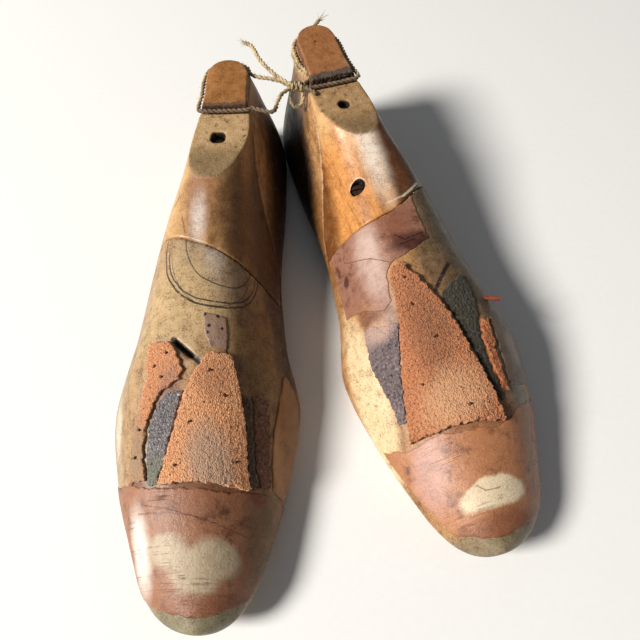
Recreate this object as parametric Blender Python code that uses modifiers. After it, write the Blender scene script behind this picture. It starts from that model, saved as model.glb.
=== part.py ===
"""Pair of wooden shoe lasts with scoop blocks, leather fittings and a twine tie.

Units are metres, +Z is up and the toes point towards -Y.  Each last is modelled in its own
frame, with the origin on the floor at the back of the heel.  A place on a last is given by
d, the distance from the heel's back towards the toe, and by g, the distance over the skin
from the ridge, positive on the big-toe side.  The pair stands crossed: the big-toe sides
face outwards.
"""
import math

import bmesh
import bpy
import numpy as np
from mathutils import Vector

MM = 0.001

# Driving sizes of one last; the tables below are drawn for a pattern, and stretched to this length
LAST_LENGTH = 292 * MM
TOE_ROUND = 78 * MM
TOE_SQUARENESS = 2.45
CROWN_HEIGHT = 77.5 * MM
CROWN_WORN = {"left": 1 * MM, "right": 0.0}
CROWN_FALL = 0.068
CROWN_FRONT = 50.5 * MM
LOW_BULGE = 0.16
BULGE_HEIGHT = 0.22

# Half widths of the widest level, as (distance from the heel's back, half width)
BIG_TOE_SIDE = (
    (0, 25.5 * MM),
    (29 * MM, 25.5 * MM),
    (70 * MM, 30 * MM),
    (117 * MM, 39.5 * MM),
    (161 * MM, 45.5 * MM),
    (199 * MM, 50 * MM),
    (234 * MM, 44.2 * MM),
    (269 * MM, 37.6 * MM),
    (292 * MM, 37.6 * MM),
)
LITTLE_TOE_SIDE = (
    (0, 27.5 * MM),
    (29 * MM, 27.5 * MM),
    (70 * MM, 28 * MM),
    (117 * MM, 27.5 * MM),
    (161 * MM, 31 * MM),
    (199 * MM, 39 * MM),
    (234 * MM, 34.4 * MM),
    (269 * MM, 30.4 * MM),
    (292 * MM, 30.4 * MM),
)

# Height of the ridge, which runs on unseen above the crown, and of the sole
RIDGE_HEIGHT = (
    (0, 111 * MM),
    (35 * MM, 101 * MM),
    (70 * MM, 86 * MM),
    (99 * MM, 68.5 * MM),
    (128 * MM, 57.5 * MM),
    (146 * MM, 53 * MM),
    (175 * MM, 49 * MM),
    (204 * MM, 43 * MM),
    (234 * MM, 38 * MM),
    (263 * MM, 32 * MM),
    (292 * MM, 24 * MM),
)
SOLE_HEIGHT = (
    (0, 0),
    (64 * MM, 0),
    (123 * MM, 8 * MM),
    (193 * MM, 0),
    (216 * MM, 0),
    (292 * MM, 13 * MM),
)

# How far the ridge leans towards the big-toe side
RIDGE_LEAN = (
    (0, 0),
    (58 * MM, 0),
    (117 * MM, 6 * MM),
    (161 * MM, 6.5 * MM),
    (204 * MM, 12 * MM),
    (292 * MM, 0),
)

# Section shape: half width = (1 - rise ** fullness) ** flare
FULLNESS = ((0, 1.0), (88 * MM, 1.3), (146 * MM, 1.5), (219 * MM, 2.0), (292 * MM, 1.8))
FLARE = ((0, 0.80), (30 * MM, 0.74), (73 * MM, 0.46), (131 * MM, 0.34), (292 * MM, 0.5))
PATTERN_LENGTH = SOLE_HEIGHT[-1][0]

# The heel's back and the toe's front in side view, as (height, set back)
HEEL_BACK = {
    "left": ((0, 5 * MM), (25 * MM, 0), (50 * MM, 5 * MM), (77 * MM, 17.5 * MM), (120 * MM, 34 * MM)),
    "right": ((0, 5 * MM), (25 * MM, 0), (60 * MM, 4.5 * MM), (77 * MM, 8 * MM), (120 * MM, 18 * MM)),
}
# Plan rounding of the heel, as (height, length of the rounding)
HEEL_ROUND = ((0, 31 * MM), (45 * MM, 29 * MM), (80 * MM, 14 * MM))
TOE_FRONT_HEIGHT = 20 * MM
TOE_FRONT_CURVE = 20.0

# Scoop block: the seat sawn through the last, as (distance from the heel's back, height)
SEAT = (
    (CROWN_FRONT, 69.3 * MM),
    (CROWN_FRONT + 6 * MM, 66.5 * MM),
    (71 * MM, 60.5 * MM),
    (93 * MM, 42.5 * MM),
    (107 * MM, 30 * MM),
    (123 * MM, 20 * MM),
    (136 * MM, 17.5 * MM),
    (165 * MM, 17.5 * MM),
)
# The block's front in plan, as (across, distance from the heel's back)
BLOCK_FRONT = {
    "left": (
        (-60 * MM, 153.5 * MM),
        (-24 * MM, 140 * MM),
        (-5 * MM, 132 * MM),
        (6 * MM, 127.5 * MM),
        (21 * MM, 122.5 * MM),
        (60 * MM, 110 * MM),
    ),
    "right": (
        (-60 * MM, 121 * MM),
        (-26 * MM, 129.5 * MM),
        (-17 * MM, 132 * MM),
        (-6 * MM, 134 * MM),
        (5 * MM, 132.5 * MM),
        (14 * MM, 128.5 * MM),
        (29 * MM, 117 * MM),
        (60 * MM, 92 * MM),
    ),
}
FACET_REAR_HEIGHT = 69.6 * MM
FACET_FALL = 0.05
FACET_LENGTH = 75 * MM
HOOK_HOLE_PLACE = {"left": (69.5 * MM, 2 * MM), "right": (67.5 * MM, 1 * MM)}
HOOK_HOLE_ACROSS = 6.4 * MM
BLOCK_LIFT_PLACE = 100 * MM

# Fixings of the blocks
PEG_DIAMETER = 6 * MM
PEG_LENGTH = 22 * MM
PEG_SINK = 11 * MM
PEG_PLACE = 100 * MM
SCREW_PLACE = (114 * MM, -6 * MM)
SCREW_HEAD = 6.4 * MM
SCREW_SHANK = 4.2 * MM
SCREW_HEAD_DEPTH = 9 * MM
SCREW_LENGTH = 34 * MM
SCREW_SLOT = 1.1 * MM
SCREW_SLOT_DEPTH = 1.0 * MM

# Leather thicknesses
CAP_THICKNESS = {"left": 3.5 * MM, "right": 4.5 * MM}
PAD_THICKNESS = 3.0 * MM
ROUGH_THICKNESS = 1.9 * MM
JOINT_THICKNESS = 1.6 * MM
SKIN_THICKNESS = 1.2 * MM
INSTEP_GAP = 1.0 * MM
STRIP_THICKNESS = 1.0 * MM
TOE_RIM = 5.5 * MM
TOE_RIM_SIDES = 7 * MM

# Outlines of the leathers and places of their tacks, as (d, g); a strip has its two edges in turn
LEFT_CENTRE_PAD = (
    ((188.5 * MM, -10 * MM), (187 * MM, -18.5 * MM)),
    ((195 * MM, -6.5 * MM), (192 * MM, -22 * MM)),
    ((203 * MM, -3 * MM), (202 * MM, -26 * MM)),
    ((213 * MM, 0 * MM), (211 * MM, -28 * MM)),
    ((226 * MM, 3.5 * MM), (224 * MM, -28.5 * MM)),
    ((241.5 * MM, 9.5 * MM), (239.2 * MM, -29 * MM)),
)
LEFT_OUTER_STRIP = (
    ((205 * MM, 6.4 * MM), (205 * MM, -1 * MM)),
    ((214 * MM, 12 * MM), (214 * MM, 1.6 * MM)),
    ((226 * MM, 14.5 * MM), (226 * MM, 4.8 * MM)),
    ((240.5 * MM, 15 * MM), (240.5 * MM, 10.6 * MM)),
)
LEFT_OUTER_LEATHER = (
    ((183 * MM, 19 * MM), (183.5 * MM, 8.5 * MM)),
    ((189 * MM, 18 * MM), (189.5 * MM, 4.5 * MM)),
    ((196 * MM, 16.5 * MM), (196 * MM, 0.5 * MM)),
    ((200 * MM, 16 * MM), (200 * MM, 1 * MM)),
    ((204.5 * MM, 16.8 * MM), (204.5 * MM, 8.2 * MM)),
    ((214 * MM, 19.5 * MM), (214 * MM, 13.2 * MM)),
    ((226 * MM, 23 * MM), (226 * MM, 15.8 * MM)),
    ((237 * MM, 26.5 * MM), (238.5 * MM, 16.2 * MM)),
)
LEFT_INNER_DARK_STRIP = (
    ((201 * MM, -27 * MM), (201.5 * MM, -31 * MM)),
    ((212 * MM, -29 * MM), (212 * MM, -33 * MM)),
    ((224 * MM, -29.5 * MM), (224 * MM, -33.4 * MM)),
    ((237.5 * MM, -30 * MM), (237.5 * MM, -34.5 * MM)),
)
LEFT_INNER_BROWN_STRIP = (
    ((200 * MM, -32 * MM), (198 * MM, -42 * MM)),
    ((212 * MM, -33.9 * MM), (212 * MM, -43 * MM)),
    ((224 * MM, -34.3 * MM), (224 * MM, -43 * MM)),
    ((237 * MM, -35.4 * MM), (236 * MM, -41.5 * MM)),
)
LEFT_INNER_JOINT_LEATHER = (
    ((181.5 * MM, -52 * MM), (182.5 * MM, -55 * MM)),
    ((189 * MM, -50 * MM), (190 * MM, -61 * MM)),
    ((200 * MM, -47.5 * MM), (200 * MM, -63 * MM)),
    ((214 * MM, -44.6 * MM), (214 * MM, -61 * MM)),
    ((228 * MM, -43.7 * MM), (228 * MM, -56 * MM)),
    ((236.5 * MM, -42.8 * MM), (240.5 * MM, -49 * MM)),
)
LEFT_INSTEP_PATCH = (
    ((171 * MM, -3 * MM), (171 * MM, -14 * MM)),
    ((179 * MM, -5 * MM), (179 * MM, -16 * MM)),
    ((186.5 * MM, -10 * MM), (185 * MM, -17 * MM)),
)
RIGHT_CENTRE_PAD = (
    ((172 * MM, -13.5 * MM), (170 * MM, -7 * MM)),
    ((184 * MM, -17.5 * MM), (182 * MM, -3 * MM)),
    ((196 * MM, -21.5 * MM), (195 * MM, 1 * MM)),
    ((210 * MM, -27.5 * MM), (211 * MM, 3.8 * MM)),
    ((224 * MM, -30.5 * MM), (226 * MM, 7 * MM)),
    ((239.5 * MM, -32.5 * MM), (246.5 * MM, 12.5 * MM)),
)
RIGHT_INNER_STRIP = (
    ((182 * MM, -39.5 * MM), (192.5 * MM, -21.8 * MM)),
    ((191 * MM, -42.5 * MM), (199 * MM, -24.5 * MM)),
    ((202 * MM, -43.5 * MM), (206 * MM, -27.6 * MM)),
    ((215 * MM, -40 * MM), (216 * MM, -30.4 * MM)),
    ((230 * MM, -37.5 * MM), (230 * MM, -33.2 * MM)),
)
RIGHT_OUTER_DARK_STRIP = (
    ((188.5 * MM, 3 * MM), (180.5 * MM, 19 * MM)),
    ((194 * MM, 2.2 * MM), (190 * MM, 18 * MM)),
    ((202 * MM, 3.8 * MM), (202 * MM, 14.5 * MM)),
    ((214 * MM, 5.7 * MM), (213.5 * MM, 11.5 * MM)),
    ((228 * MM, 9 * MM), (227 * MM, 12.5 * MM)),
    ((239 * MM, 13.2 * MM), (238 * MM, 15 * MM)),
)
RIGHT_OUTER_TORN_STRIP = (
    ((203 * MM, 15.4 * MM), (203 * MM, 19.5 * MM)),
    ((214 * MM, 12.6 * MM), (214 * MM, 18 * MM)),
    ((226 * MM, 13.6 * MM), (226 * MM, 17.8 * MM)),
    ((234 * MM, 15.6 * MM), (234 * MM, 18 * MM)),
)
RIGHT_OUTER_JOINT_LEATHER = (
    ((201 * MM, 21.5 * MM), (201 * MM, 46 * MM)),
    ((214 * MM, 20 * MM), (213 * MM, 46 * MM)),
    ((232 * MM, 20 * MM), (226 * MM, 40 * MM)),
)
LEFT_TOE_REAR_EDGE = (
    (-60 * MM, 243 * MM),
    (-50 * MM, 243 * MM),
    (-42 * MM, 238.5 * MM),
    (-33 * MM, 239 * MM),
    (-25 * MM, 241 * MM),
    (-10 * MM, 243 * MM),
    (2 * MM, 243 * MM),
    (10 * MM, 242.5 * MM),
    (26 * MM, 237.5 * MM),
    (46 * MM, 233 * MM),
    (60 * MM, 230 * MM),
)
RIGHT_TOE_REAR_EDGE = (
    (-60 * MM, 236 * MM),
    (-45 * MM, 238 * MM),
    (-35 * MM, 241.5 * MM),
    (-27 * MM, 242 * MM),
    (-18 * MM, 242.5 * MM),
    (-11 * MM, 245.5 * MM),
    (0 * MM, 247.5 * MM),
    (9 * MM, 248.5 * MM),
    (16 * MM, 245 * MM),
    (25 * MM, 239 * MM),
    (39 * MM, 234 * MM),
    (50 * MM, 231 * MM),
)
RIGHT_INSTEP_END = (
    (-56 * MM, 166 * MM),
    (-42 * MM, 171 * MM),
    (-35 * MM, 175 * MM),
    (-24 * MM, 183.5 * MM),
    (-20 * MM, 183 * MM),
    (-15 * MM, 170.5 * MM),
    (-12 * MM, 168 * MM),
    (-5 * MM, 167 * MM),
    (2 * MM, 165 * MM),
    (12 * MM, 160 * MM),
)
LEFT_PAD_TACKS = (
    (196 * MM, -12 * MM),
    (205 * MM, -19 * MM),
    (218 * MM, -5 * MM),
    (230 * MM, -23 * MM),
    (235 * MM, 2 * MM),
)
LEFT_LEATHER_TACKS = (
    (189 * MM, 9 * MM),
    (194 * MM, 13 * MM),
    (199 * MM, 9 * MM),
    (219 * MM, 17.5 * MM),
    (229 * MM, 20 * MM),
)
RIGHT_PAD_TACKS = (
    (178 * MM, -9 * MM),
    (190 * MM, -12 * MM),
    (207 * MM, -8 * MM),
    (222 * MM, -20 * MM),
    (238 * MM, -2 * MM),
)

# Tacks
TACK_HEAD = 2.0 * MM
TACK_HEAD_HEIGHT = 0.5 * MM
TACK_SHANK = 0.9 * MM
TACK_LENGTH = 9 * MM
CROWN_TACK_PLACE = (22 * MM, -2 * MM)
SIDE_PEG_PLACE = (190 * MM, 27 * MM)
SIDE_PEG_DIAMETER = 2.2 * MM
SIDE_PEG_LENGTH = 16 * MM
SIDE_PEG_PROUD = 7 * MM
SIDE_PEG_AIM = (0.94, 0.30, -0.12)

# Twine
TWINE_DIAMETER = 2.0 * MM
KNOT_CENTRE = (-5.3 * MM, 101.3 * MM, 71 * MM)
KNOT_SIZE = (9.4 * MM, 5.6 * MM, 5.2 * MM)

# Fits
FIT = 0.3 * MM
LEATHER_FIT = 0.4 * MM
TWINE_LEVEL = SEAT[0][1] + LEATHER_FIT + TWINE_DIAMETER / 2
TOE_LEATHER_FIT = 0.6 * MM
SCREW_FIT = 0.3 * MM

# Where the two lasts stand: heel's back on the floor, and turn about the vertical
STAND = {
    "left": ((-32.7 * MM, 134.9 * MM), -2.45),
    "right": ((11.8 * MM, 150.7 * MM), 13.3),
}
BIG_TOE_SIGN = {"left": -1, "right": 1}

# Fineness of the meshes
HEEL_STEPS = 7
TOE_STEPS = 10
STATION_STEP = 9 * MM
RISE_STEPS = 12
FINE_STEPS = 40
SHEET_STEP_ALONG = 8 * MM
SHEET_STEP_ACROSS = 5 * MM


def clear_scene():
    for old in list(bpy.data.objects):
        bpy.data.objects.remove(old)


def smooth(knots, x):
    """Cubic through the knots that never overshoots them."""
    xs = np.array([knot[0] for knot in knots], dtype=float)
    ys = np.array([knot[1] for knot in knots], dtype=float)
    x = np.clip(np.asarray(x, dtype=float), xs[0], xs[-1])
    step = np.diff(xs)
    slope = np.diff(ys) / step
    tangent = np.concatenate([slope[:1], np.zeros(len(slope) - 1), slope[-1:]])
    same_way = slope[:-1] * slope[1:] > 0
    near = 2 * step[1:] + step[:-1]
    far = step[1:] + 2 * step[:-1]
    safe_a = np.where(same_way, slope[:-1], 1.0)
    safe_b = np.where(same_way, slope[1:], 1.0)
    tangent[1:-1] = np.where(same_way, (near + far) / (near / safe_a + far / safe_b), 0.0)
    i = np.clip(np.searchsorted(xs, x) - 1, 0, len(step) - 1)
    u = (x - xs[i]) / step[i]
    return (
        ys[i] * (1 + 2 * u) * (1 - u) ** 2
        + ys[i + 1] * u * u * (3 - 2 * u)
        + step[i] * (tangent[i] * u * (1 - u) ** 2 - tangent[i + 1] * u * u * (1 - u))
    )


def end_rounding(distance, radius, squareness):
    """Plan rounding of an end: 0 at the tip and 1 from the radius inwards."""
    reach = np.clip(distance / radius, 0, 1)
    return (1 - (1 - reach) ** squareness) ** (1 / squareness)


def section(hand, d, angles):
    """One cross-section: across, along and up for each angle, on both sides.

    The angle runs from 0 at the sole's edge to a quarter turn at the ridge.
    """
    top = smooth(RIDGE_HEIGHT, d)
    low = smooth(SOLE_HEIGHT, d)
    fullness = smooth(FULLNESS, d)
    flare = smooth(FLARE, d)

    def spread(angle):
        rise = np.sin(angle) ** (2 / fullness)
        bulge = 1 + LOW_BULGE * (rise / BULGE_HEIGHT) * np.exp(1 - rise / BULGE_HEIGHT)
        return rise, np.abs(np.cos(angle)) ** (2 * flare) * bulge

    widest = spread(np.linspace(0, math.pi / 2, FINE_STEPS))[1].max()
    rise, width = spread(angles)
    width = np.where(angles > math.pi / 2 - 1e-6, 0.0, width / widest)
    up = low + (top - low) * rise
    ends = end_rounding(d, smooth(HEEL_ROUND, up), 2.0)
    ends = ends * end_rounding(PATTERN_LENGTH - d, TOE_ROUND, TOE_SQUARENESS)
    lean = smooth(RIDGE_LEAN, d) * ends
    heel = smooth(HEEL_BACK[hand], up)
    toe = PATTERN_LENGTH - TOE_FRONT_CURVE * (up - TOE_FRONT_HEIGHT) ** 2
    share = d / PATTERN_LENGTH
    along = heel * (1 - share) + toe * share
    sides = {}
    for name, knots, sign in (("big", BIG_TOE_SIDE, 1), ("little", LITTLE_TOE_SIDE, -1)):
        across = sign * smooth(knots, d) * ends * width + lean * rise ** 1.5
        sides[name] = np.stack([across, along, up], axis=-1)
    return sides


def ring(hand, d):
    """The section from the little-toe edge over the ridge to the big-toe edge, with its girth."""
    angles = np.linspace(0, math.pi / 2, FINE_STEPS)
    sides = section(hand, d, angles)
    points = np.concatenate([sides["little"], sides["big"][::-1][1:]])
    girth = np.concatenate([[0.0], np.cumsum(np.linalg.norm(np.diff(points, axis=0), axis=1))])
    return points, girth - girth[FINE_STEPS - 1]


def skin_place(hand, d, g):
    points, girth = ring(hand, d)
    return np.array([np.interp(g, girth, points[:, k]) for k in range(3)])


def skin_normal(hand, d, g):
    """Outward normal of the skin, from nearby places at the same share of the girth."""
    if d > PATTERN_LENGTH - 0.02 * MM:
        up = skin_place(hand, d, g)[2]
        normal = np.array([0.0, 1.0, 2 * TOE_FRONT_CURVE * (up - TOE_FRONT_HEIGHT)])
        return normal / np.linalg.norm(normal)
    side = "big" if g > 0 else "little"
    share = g / edge_girth(hand, d, side)
    tip = PATTERN_LENGTH - d
    reach = min(0.8 * MM, tip * 0.3, d * 0.3)
    places = [skin_place(hand, at, share * edge_girth(hand, at, side)) for at in (d - reach, d + reach)]
    step = min(0.8 * MM, abs(edge_girth(hand, d, side)) * 0.02)
    across = skin_place(hand, d, g + step) - skin_place(hand, d, g - step)
    normal = np.cross(across, places[1] - places[0])
    return normal / np.linalg.norm(normal)


def skin_point(hand, d, g, lift=0.0):
    """A point of the skin in across, along, up, raised along the outward normal."""
    place = skin_place(hand, d, g)
    return place + skin_normal(hand, d, g) * lift if lift else place


def edge_girth(hand, d, side):
    """Girth from the ridge down to the sole's edge, negative on the little-toe side."""
    girth = ring(hand, d)[1]
    return girth[-1] if side == "big" else girth[0]


def in_last(hand, point):
    """From across, along, up on the pattern to the last's own frame."""
    stretch = LAST_LENGTH / PATTERN_LENGTH
    return Vector((BIG_TOE_SIGN[hand] * point[0], -point[1] * stretch, point[2]))


def make_material(name, colour, roughness, metallic=0.0):
    material = bpy.data.materials.new(name)
    material.use_nodes = True
    shader = material.node_tree.nodes["Principled BSDF"]
    shader.inputs["Base Color"].default_value = (*colour, 1.0)
    shader.inputs["Roughness"].default_value = roughness
    shader.inputs["Metallic"].default_value = metallic
    return material


def new_collection(name):
    collection = bpy.data.collections.new(name)
    bpy.context.scene.collection.children.link(collection)
    return collection


def add_object(name, mesh, finish=None, parent=None, cutter=False):
    """Put a mesh in the scene as a piece, or as a hidden cutter."""
    obj = bpy.data.objects.new(name, mesh)
    (CUTTERS if cutter else PIECES).objects.link(obj)
    obj.parent = parent
    if cutter:
        obj.hide_render = True
        obj.display_type = "WIRE"
    else:
        colour, roughness, metallic = finish
        mesh.materials.clear()
        mesh.materials.append(make_material(name, colour, roughness, metallic))
    return obj


def mesh_from(name, points, faces, weld=1e-6):
    builder = bmesh.new()
    verts = [builder.verts.new(point) for point in points]
    for face in faces:
        builder.faces.new([verts[i] for i in face])
    bmesh.ops.remove_doubles(builder, verts=builder.verts, dist=weld)
    bmesh.ops.recalc_face_normals(builder, faces=builder.faces)
    mesh = bpy.data.meshes.new(name)
    builder.to_mesh(mesh)
    builder.free()
    return mesh


def round_shading(obj, angle=40):
    obj.data.shade_smooth()
    obj.data.set_sharp_from_angle(angle=math.radians(angle))


def cut(obj, cutter, operation="DIFFERENCE"):
    boolean = obj.modifiers.new(cutter.name, "BOOLEAN")
    boolean.operation = operation
    boolean.solver = "EXACT"
    boolean.object = cutter


def from_toe(turn):
    """Distance from the toe's tip at a turn of its rounding: 0 at the tip, a quarter turn inside."""
    return TOE_ROUND * (1 - (1 - np.sin(turn) ** TOE_SQUARENESS) ** (1 / TOE_SQUARENESS))


def stations():
    """Places along the last, in even turns round the heel and the toe and even steps between."""
    quarter = math.pi / 2
    heel = HEEL_ROUND[0][1] * (1 - np.cos(np.linspace(0, quarter, HEEL_STEPS + 1)))
    toe = PATTERN_LENGTH - from_toe(np.linspace(quarter, 0, TOE_STEPS + 1))
    count = round((toe[0] - heel[-1]) / STATION_STEP)
    middle = np.linspace(heel[-1], toe[0], count + 1)[1:-1]
    return np.concatenate([heel, middle, toe])


def full_last_mesh(hand):
    """The whole turned form, before crown, block and holes are cut."""
    angles = np.linspace(0, math.pi / 2, RISE_STEPS + 1)
    points = []
    places = stations()
    for d in places:
        sides = section(hand, d, angles)
        loop = np.concatenate([sides["little"], sides["big"][::-1][1:]])
        points.extend(in_last(hand, p) for p in loop)
    count = 2 * RISE_STEPS + 1
    faces = []
    for row in range(len(places) - 1):
        for column in range(count):
            a = row * count + column
            b = row * count + (column + 1) % count
            faces.append((a, b, b + count, a + count))
    return mesh_from(hand + "_form", points, faces, weld=0.02 * MM)


def prism(name, hand, outline):
    """A cutter across the last from a side outline of (along, up)."""
    half = 60 * MM
    points = []
    for across in (-half, half):
        points.extend(in_last(hand, (across, along, up)) for along, up in outline)
    count = len(outline)
    faces = [tuple(range(count)), tuple(range(2 * count - 1, count - 1, -1))]
    for i in range(count):
        j = (i + 1) % count
        faces.append((i, j, j + count, i + count))
    return mesh_from(name, points, faces)


def crown_height(hand, d, drop=0.0):
    return CROWN_HEIGHT - CROWN_WORN[hand] - CROWN_FALL * d - drop


def above_crown(name, hand, drop):
    """Everything above the crown's top, back to front."""
    top = 140 * MM
    back = -20 * MM
    front = CROWN_FRONT + 30 * MM
    rear_height = crown_height(hand, back, drop)
    front_height = crown_height(hand, front, drop)
    outline = ((back, rear_height), (front, front_height), (front, top), (back, top))
    return prism(name, hand, outline)


def block_front(hand, across):
    """Distance of the block's front from the heel's back, at a place across."""
    return float(smooth(BLOCK_FRONT[hand], across))


def beyond_front(name, hand, grow):
    """Upright cutter of everything before the block's front."""
    edge = BLOCK_FRONT[hand][-1][0]
    places = np.arange(-edge, edge + 1 * MM, 4 * MM)
    outline = [(across, block_front(hand, across) + grow) for across in places]
    outline += [(edge, PATTERN_LENGTH), (-edge, PATTERN_LENGTH)]
    count = len(outline)
    points = []
    for up in (-20 * MM, 200 * MM):
        points.extend(in_last(hand, (across, along, up)) for across, along in outline)
    faces = [tuple(range(count)), tuple(range(2 * count - 1, count - 1, -1))]
    for i in range(count):
        j = (i + 1) % count
        faces.append((i, j, j + count, i + count))
    return mesh_from(name, points, faces)


def block_space(hand, name, grow):
    """Cutter of the scoop block's space, grown into the last by a clearance."""
    top = 140 * MM
    step = 3 * MM
    rear = CROWN_FRONT if grow else CROWN_FRONT + TWINE_DIAMETER + 2 * LEATHER_FIT
    far = SEAT[-1][0]
    places = np.arange(rear, far, step)
    seat = [(d, float(smooth(SEAT, d)) - grow) for d in places]
    outline = [(rear, top)] + seat + [(far, SEAT[-1][1] - grow), (far, top)]
    space = add_object(name, prism(name, hand, outline), parent=FRAMES[hand], cutter=True)
    front_mesh = beyond_front(name + "_front", hand, grow)
    cut(space, add_object(name + "_front", front_mesh, parent=FRAMES[hand], cutter=True))
    return space


def facet_height(d):
    return FACET_REAR_HEIGHT - FACET_FALL * (d - CROWN_FRONT)


def cylinder_mesh(name, radius, low, high, sides=16, top_radius=None):
    """An upright cylinder or cone between two heights, with its axis on the origin."""
    builder = bmesh.new()
    bmesh.ops.create_cone(
        builder,
        cap_ends=True,
        segments=sides,
        radius1=radius,
        radius2=radius if top_radius is None else top_radius,
        depth=high - low,
    )
    bmesh.ops.translate(builder, verts=builder.verts, vec=(0, 0, (low + high) / 2))
    mesh = bpy.data.meshes.new(name)
    builder.to_mesh(mesh)
    builder.free()
    return mesh


def join_solids(name, meshes_and_places):
    """One mesh that holds several separate solids."""
    builder = bmesh.new()
    for mesh, matrix in meshes_and_places:
        moved = mesh.copy()
        moved.transform(matrix)
        builder.from_mesh(moved)
    joined = bpy.data.meshes.new(name)
    builder.to_mesh(joined)
    builder.free()
    return joined


def make_empty(name, location, turn=0.0, parent=None):
    empty = bpy.data.objects.new(name, None)
    PIECES.objects.link(empty)
    empty.location = location
    empty.rotation_euler.z = math.radians(turn)
    empty.parent = parent
    return empty


def sheet_object(hand, name, rows, thickness, finish, fit=LEATHER_FIT):
    """A leather piece: an open sheet on the skin, thickened outwards with Solidify."""
    count = len(rows[0])
    points = [in_last(hand, skin_point(hand, d, g, fit)) for row in rows for d, g in row]
    faces = []
    for i in range(len(rows) - 1):
        for j in range(count - 1):
            a = i * count + j
            faces.append((a, a + 1, a + 1 + count, a + count))
    mesh = mesh_from(name, points, faces, weld=0.02 * MM)
    inside = in_last(hand, (0, (rows[0][0][0] + rows[-1][0][0]) / 2, 15 * MM))
    middle = mesh.polygons[len(mesh.polygons) // 2]
    if (middle.center - inside).dot(middle.normal) < 0:
        mesh.flip_normals()
    obj = add_object(name, mesh, finish, parent=FRAMES[hand])
    solidify = obj.modifiers.new("thickness", "SOLIDIFY")
    solidify.thickness = thickness
    solidify.offset = 1.0
    round_shading(obj, 50)
    return obj


def panel(hand, name, corners, thickness, finish, step=SHEET_STEP_ALONG):
    """A strip between two edges: corners lists (edge one, edge two) places as (d, g)."""
    marks = np.linspace(0, 1, len(corners))
    edges = []
    for side in (0, 1):
        d_knots = tuple(zip(marks, [row[side][0] for row in corners]))
        g_knots = tuple(zip(marks, [row[side][1] for row in corners]))
        edges.append((d_knots, g_knots))
    length = abs(corners[-1][0][0] - corners[0][0][0])
    width = max(abs(row[0][1] - row[1][1]) for row in corners)
    steps_along = max(2, round(length / step))
    steps_across = max(1, round(width / SHEET_STEP_ACROSS))
    rows = []
    for r in np.linspace(0, 1, steps_along + 1):
        ends = [np.array([smooth(d_knots, r), smooth(g_knots, r)]) for d_knots, g_knots in edges]
        shares = np.linspace(0, 1, steps_across + 1)
        rows.append([tuple(ends[0] * (1 - share) + ends[1] * share) for share in shares])
    return sheet_object(hand, name, rows, thickness, finish)


def band(hand, name, girths, start, end, thickness, finish):
    """A piece across the ridge: it runs from start(g) to end(g) for each girth."""
    steps = max(2, round((end(0.0) - start(0.0)) / SHEET_STEP_ALONG))
    reaches = [(start(g), end(g), g) for g in girths]
    rows = []
    for r in np.linspace(0, 1, steps + 1):
        rows.append([(rear * (1 - r) + front * r, g) for rear, front, g in reaches])
    return sheet_object(hand, name, rows, thickness, finish)


def toe_leather(hand, rear_edge, little_rim, big_rim):
    """The worn leather over the toe, down to a bare wooden rim at the tip and above the sole."""

    def toe_turn(tip):
        return math.asin(end_rounding(tip, TOE_ROUND, TOE_SQUARENESS))

    rows = []
    for r in np.linspace(0, 1, TOE_STEPS + 1):
        row = []
        for share in np.linspace(-1, 1, 2 * RISE_STEPS + 1):
            side, rim = ("big", big_rim) if share > 0 else ("little", little_rim)
            front = toe_turn(TOE_RIM + TOE_RIM_SIDES * share * share)
            d = PATTERN_LENGTH - 50 * MM
            for _ in range(4):
                reach = abs(edge_girth(hand, d, side))
                g = share * (reach - rim * min(1.0, reach / (2.2 * rim)))
                rear = toe_turn(PATTERN_LENGTH - float(smooth(rear_edge, g)))
                d = PATTERN_LENGTH - from_toe(rear + (front - rear) * r)
            row.append((d, g))
        rows.append(row)
    return sheet_object(hand, hand + "_toe_leather", rows, SKIN_THICKNESS, TOE_LEATHER, TOE_LEATHER_FIT)


def build_wood(hand):
    """The last and its scoop block, both cut from one turned form."""
    frame = FRAMES[hand]
    cap = CAP_THICKNESS[hand]
    form = full_last_mesh(hand)

    body = add_object(hand + "_last_body", form, WOOD[hand], parent=frame)
    top_cut = above_crown(hand + "_crown_cut", hand, cap + FIT)
    cut(body, add_object(hand + "_crown_cut", top_cut, parent=frame, cutter=True))
    cut(body, block_space(hand, hand + "_block_bed", FIT))

    lift = make_empty(hand + "_block_lift", in_last(hand, (0, BLOCK_LIFT_PLACE, 0)), parent=frame)
    block = add_object(hand + "_scoop_block", form.copy(), BLOCK_WOOD[hand], parent=lift)
    block.location = -lift.location
    cut(block, block_space(hand, hand + "_block_keep", 0.0), "INTERSECT")
    facet_end = CROWN_FRONT + FACET_LENGTH
    top = 140 * MM
    sides = ((0, facet_height(0)), (facet_end, facet_height(facet_end)), (facet_end, top), (0, top))
    facet = prism(hand + "_facet_cut", hand, sides)
    cut(block, add_object(hand + "_facet_cut", facet, parent=frame, cutter=True))
    reach = CROWN_HEIGHT
    hole = cylinder_mesh(hand + "_hook_hole", HOOK_HOLE_ACROSS / 2, -reach, reach, 16)
    hole_cut = add_object(hand + "_hook_hole", hole, parent=frame, cutter=True)
    hole_d, hole_s = HOOK_HOLE_PLACE[hand]
    hole_cut.location = in_last(hand, (hole_s, hole_d, facet_height(hole_d)))
    cut(block, hole_cut)
    round_shading(body)
    round_shading(block)
    return body, block


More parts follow.
